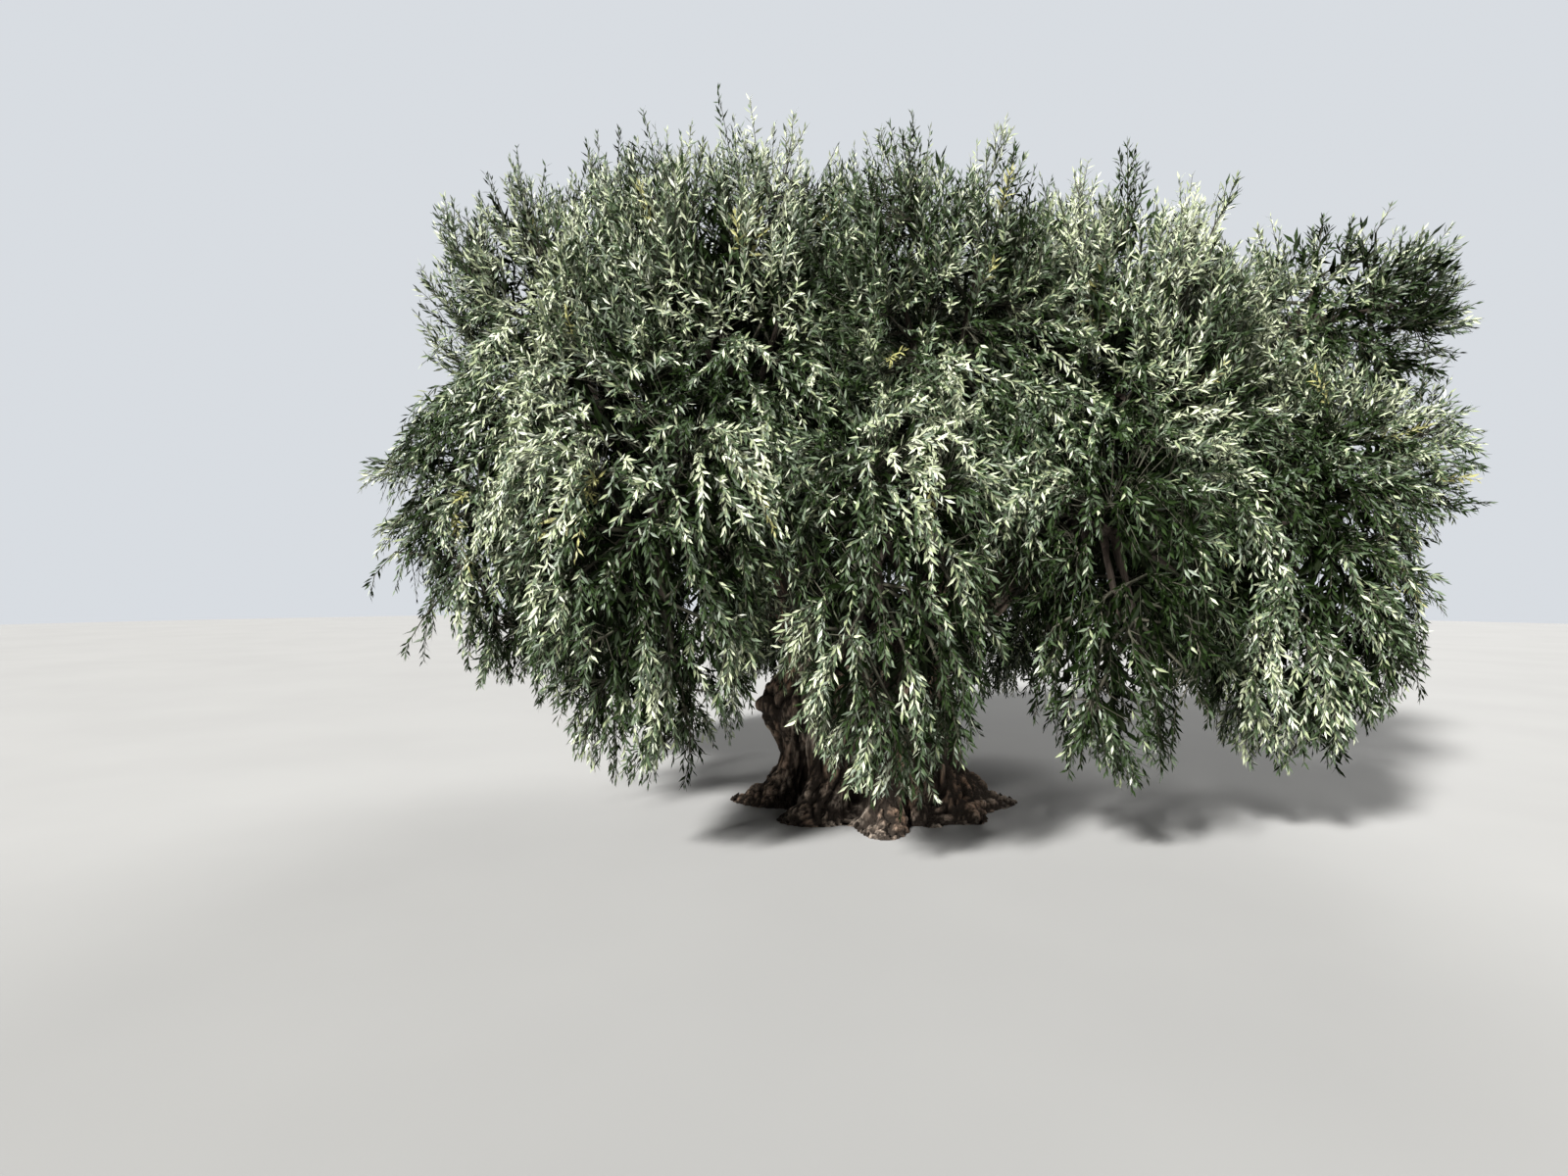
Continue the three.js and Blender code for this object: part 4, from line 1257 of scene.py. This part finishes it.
def merged(parts):
    """Several sets of points, faces and grain at each point, as one."""
    points, shapes, grain = zip(*parts)
    faces = []
    start = 0
    for part, shape in zip(points, shapes):
        faces += [tuple(corner + start for corner in face) for face in shape]
        start += len(part)
    return np.concatenate(points), faces, np.concatenate(grain)


def gnarled(share, radii, seed, strength):
    """A tapering radius with soft swellings along it."""
    swell = np.array([noise.noise(Vector((seed * 3.7, s * 4.0, 0.5))) for s in share])
    return lerp(radii[0], radii[1], share) * (1 + strength * swell)


def fused(points, faces):
    """One skin round overlapping shells, with softened forks."""
    rough = bpy.data.objects.new("rough_wood", mesh_from("rough_wood", points, faces=faces))
    bpy.context.scene.collection.objects.link(rough)
    skin = rough.modifiers.new("skin", "REMESH")
    skin.mode = "VOXEL"
    skin.voxel_size = WOOD_VOXEL
    soft = rough.modifiers.new("soft", "SMOOTH")
    soft.factor = 0.5
    soft.iterations = WOOD_SMOOTHING
    graph = bpy.context.evaluated_depsgraph_get()
    mesh = bpy.data.meshes.new_from_object(rough.evaluated_get(graph), depsgraph=graph)
    bpy.data.objects.remove(rough)
    return mesh


def vertex_places(mesh):
    places = np.empty(len(mesh.vertices) * 3, np.float32)
    mesh.vertices.foreach_get("co", places)
    return places.reshape(-1, 3).astype(float)


def wood_grain(places, boughs):
    """Grain that runs up the trunk and then along whichever bough is nearest, and the depth of the relief."""
    shares = np.linspace(0, 1, GRAIN_PLACES)
    spines = []
    for bough in boughs:
        centre = bough.point(shares)
        spines += zip(centre, *limb_frames(bough, shares), run_along(centre))
    nearest = nearest_of([row[0] for row in spines], places)
    centre, along, first, second, run = (np.array(part)[nearest] for part in zip(*spines))
    offset = places - centre
    run = run + (offset * along).sum(-1)
    on_bough = np.stack(((offset * first).sum(-1), (offset * second).sum(-1), run * GRAIN_STRETCH), -1)
    turn = -RIDGE_TURN * places[:, 2]
    on_trunk = np.stack((
        places[:, 0] * np.cos(turn) - places[:, 1] * np.sin(turn),
        places[:, 0] * np.sin(turn) + places[:, 1] * np.cos(turn),
        places[:, 2] * GRAIN_STRETCH,
    ), -1)
    share = smoothstep(run, *BOUGH_GRAIN_RUN) * smoothstep(places[:, 2], *BOUGH_GRAIN_HEIGHTS)
    grain = np.where(share[:, None] > 0.5, on_bough + BOUGH_GRAIN_SHIFT, on_trunk)
    return grain, lerp(1.0, BOUGH_RELIEF, share)


def make_wood(boughs, relief, material):
    """The trunk and the boughs in one skin."""
    share = np.linspace(0, 1, BOUGH_RINGS)
    shells = [trunk_shell()]
    for i, bough in enumerate(boughs):
        shells.append(tube(bough, gnarled(share, BOUGH_RADII, i, BOUGH_SWELLING), BOUGH_SIDES, share))
    points, faces, _ = merged(shells)
    mesh = fused(points, faces)
    grain, depth = wood_grain(vertex_places(mesh), boughs)
    set_attribute(mesh, "bark_grain", grain, "FLOAT_VECTOR")
    set_attribute(mesh, "relief", depth, "FLOAT")
    return settled("trunk_and_boughs", mesh, relief, {"Material": material})


def make_limbs(relief, material):
    """The limbs with their stems and branches."""
    share = np.linspace(0, 1, LIMB_RINGS)
    few = np.linspace(0, 1, BRANCH_RINGS)
    parts = []
    for i, mass in enumerate(masses):
        taper = np.interp(share, (0, mass.entry, 1), (*LIMB_RADII, STEM_END_RADIUS))
        swelling = gnarled(share, (1, 1), i + LIMB_SEED, LIMB_SWELLING)
        parts.append(tube(mass.limb, taper * swelling, LIMB_SIDES, share))
        for j in range(BRANCHES):
            radius = gnarled(few, BRANCH_RADII, i * BRANCHES + j, LIMB_SWELLING)
            parts.append(tube(mass.branches.picked(j), radius, BRANCH_SIDES, few))
    points, faces, grain = merged(parts)
    mesh = mesh_from("limbs", points, faces=faces)
    set_attribute(mesh, "bark_grain", grain, "FLOAT_VECTOR")
    set_attribute(mesh, "relief", np.ones(len(points)), "FLOAT")
    return settled("limbs", mesh, relief, {**LIMB_RELIEF, "Material": material})


def line_mesh(name, curves, radii, steps):
    """Every curve as a line of a few points, with its thickness at each."""
    count = len(curves.foot)
    share = np.linspace(0, 1, steps + 1)
    points = np.stack([curves.point(np.full(count, s)) for s in share], 1)
    start = np.arange(count)[:, None] * (steps + 1) + np.arange(steps)[None, :]
    edges = np.stack((start, start + 1), -1).reshape(-1, 2)
    mesh = mesh_from(name, points.reshape(-1, 3), edges=edges.tolist())
    set_attribute(mesh, "thickness", np.tile(lerp(radii[0], radii[1], share), count), "FLOAT")
    return mesh


# The pieces.


def belongs(piece, nodes):
    """The piece stands for these nodes of the model, which it hides, and hangs from the root."""
    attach(piece, "root")
    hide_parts(*nodes)


def grow_masses(boughs):
    """All the masses, each with its limb, branches, twigs and sprays."""
    grown = [Mass(i, *row) for i, row in enumerate(MASSES)]
    for mass in grown:
        mass.part_from([other for other in grown if other is not mass])
        mass.limb = limb_curve(mass, boughs[mass.bough])
        mass.entry = entry_share(mass, mass.limb)
        grow_sprays(mass)
    return grown


def make_twigs_and_shoots(shoots):
    """The twigs as one piece, and the shoots as a few."""
    tree = shoot_tree()
    bark = mottled_material("twig_bark", *TWIG_COLOURS, scale=9.0, roughness=0.8)
    batches = {"twigs": (joined([mass.twigs for mass in masses]), TWIG_RADII, TWIG_STEPS)}
    for part, indices in enumerate(np.array_split(np.arange(len(shoots.foot)), SHOOT_PIECES)):
        batches[f"shoots_{part + 1}"] = (shoots.picked(indices), SHOOT_RADII, SHOOT_STEPS)
    for name, batch in batches.items():
        piece = settled(name, line_mesh(name, *batch), tree, {"Sides": 3, "Material": bark})
        belongs(piece, mass_names)


def make_leaves(point, along, upper, size, tint):
    """The leaves, joined by tint."""
    tree = leaf_tree()
    corners = [(x, y, LEAF_FOLD * abs(x)) for x, y in LEAF_OUTLINE]
    shape = bpy.data.objects.new("leaf_shape", mesh_from("leaf_shape", corners, faces=LEAF_FACES))
    for number, (label, *colours) in enumerate(TINTS):
        given = {
            "Leaf": shape,
            "Leaf length": LEAF_LENGTH,
            "Leaf width": LEAF_WIDTH,
            "Material": leaf_material(f"leaf_{label}", *colours),
        }
        chosen = np.flatnonzero(tint == number)
        pieces = max(1, math.ceil(len(chosen) / LEAVES_PER_PIECE))
        for part, indices in enumerate(np.array_split(chosen, pieces)):
            name = f"leaves_{label}_{part + 1}"
            mesh = mesh_from(name, point[indices])
            set_attribute(mesh, "leaf_along", along[indices], "FLOAT_VECTOR")
            set_attribute(mesh, "leaf_upper", upper[indices], "FLOAT_VECTOR")
            set_attribute(mesh, "leaf_size", size[indices], "FLOAT")
            belongs(settled(name, mesh, tree, given), mass_names)
    bpy.data.objects.remove(shape)


# The floor, the lights, the sky and the camera.


def make_floor():
    angles = np.linspace(0, 2 * math.pi, FLOOR_SIDES, endpoint=False)
    rim = [(FLOOR_RADIUS * math.cos(a), FLOOR_RADIUS * math.sin(a), FLOOR_HEIGHT) for a in angles]
    floor = bpy.data.objects.new("floor", mesh_from("floor", rim, faces=[range(FLOOR_SIDES)]))
    floor.data.materials.append(mottled_material("pale_floor", *FLOOR_COLOURS, scale=0.5, roughness=0.9))
    bpy.context.scene.collection.objects.link(floor)


def make_light(name, place, spread, strength):
    """A broad, even light that falls from a place towards the middle of the crown."""
    lamp = bpy.data.lights.new(name, "SUN")
    lamp.angle = math.radians(spread)
    lamp.energy = strength
    light = bpy.data.objects.new(name, lamp)
    light.location = place
    light.rotation_euler = (Vector(LIGHT_TARGET) - Vector(place)).to_track_quat("-Z", "Y").to_euler()
    bpy.context.scene.collection.objects.link(light)


def make_sky():
    world = bpy.data.worlds.new("studio")
    world.use_nodes = True
    sky = world.node_tree
    background = sky.nodes["Background"].inputs
    seen = add(sky, "ShaderNodeLightPath").outputs["Is Camera Ray"]
    strength = add(sky, "ShaderNodeMapRange", {"Value": seen, **SKY_STRENGTHS})
    sky.links.new(strength.outputs[0], background["Strength"])
    background["Color"].default_value = SKY_COLOUR
    bpy.context.scene.world = world


def make_camera():
    lens = bpy.data.cameras.new("camera")
    lens.lens = CAMERA_LENS
    lens.sensor_width = SENSOR_WIDTH
    camera = bpy.data.objects.new("camera", lens)
    camera.location = CAMERA_PLACE
    camera.rotation_euler = (math.radians(90), 0, 0)
    bpy.context.scene.collection.objects.link(camera)
    bpy.context.scene.camera = camera


bough_curves = {name: bough_curve(tip) for name, tip in BOUGHS.items()}
masses = grow_masses(bough_curves)
mass_names = [mass.name for mass in masses]

old_bark = bark_group()
relief = relief_tree()
trunk_bark = bark_material("trunk_bark", old_bark, {"Warmth": TRUNK_WARMTH}, bump=0.012)
# The limbs' bark is darkened as painted shade.
limb_bark = bark_material("limb_bark", old_bark, SHADED_LIMB_COLOURS, bump=0.006)
belongs(make_wood(list(bough_curves.values()), relief, trunk_bark), ["trunk", *BOUGHS])
belongs(make_limbs(relief, limb_bark), [f"limb_{name}" for name in mass_names])

rng = np.random.default_rng(SHOOT_SEED)
shoots, bare, inner = grow_shoots(rng)
shoot_middles = shoots.point(np.full(len(bare), TONE_PLACE))
outward = crown_outward(shoot_middles)
tone = tone_of(shoot_middles, outward, inner, rng)
make_twigs_and_shoots(shoots)
*leaves, shoot = leaves_on(shoots, bare, outward, inner, rng)
make_leaves(*leaves, tints_of(tone, shoot, inner, rng))

make_floor()
for name, (place, spread, strength) in LIGHTS.items():
    make_light(name, place, spread, strength)
make_sky()
make_camera()
bpy.context.scene.view_settings.view_transform = "Standard"
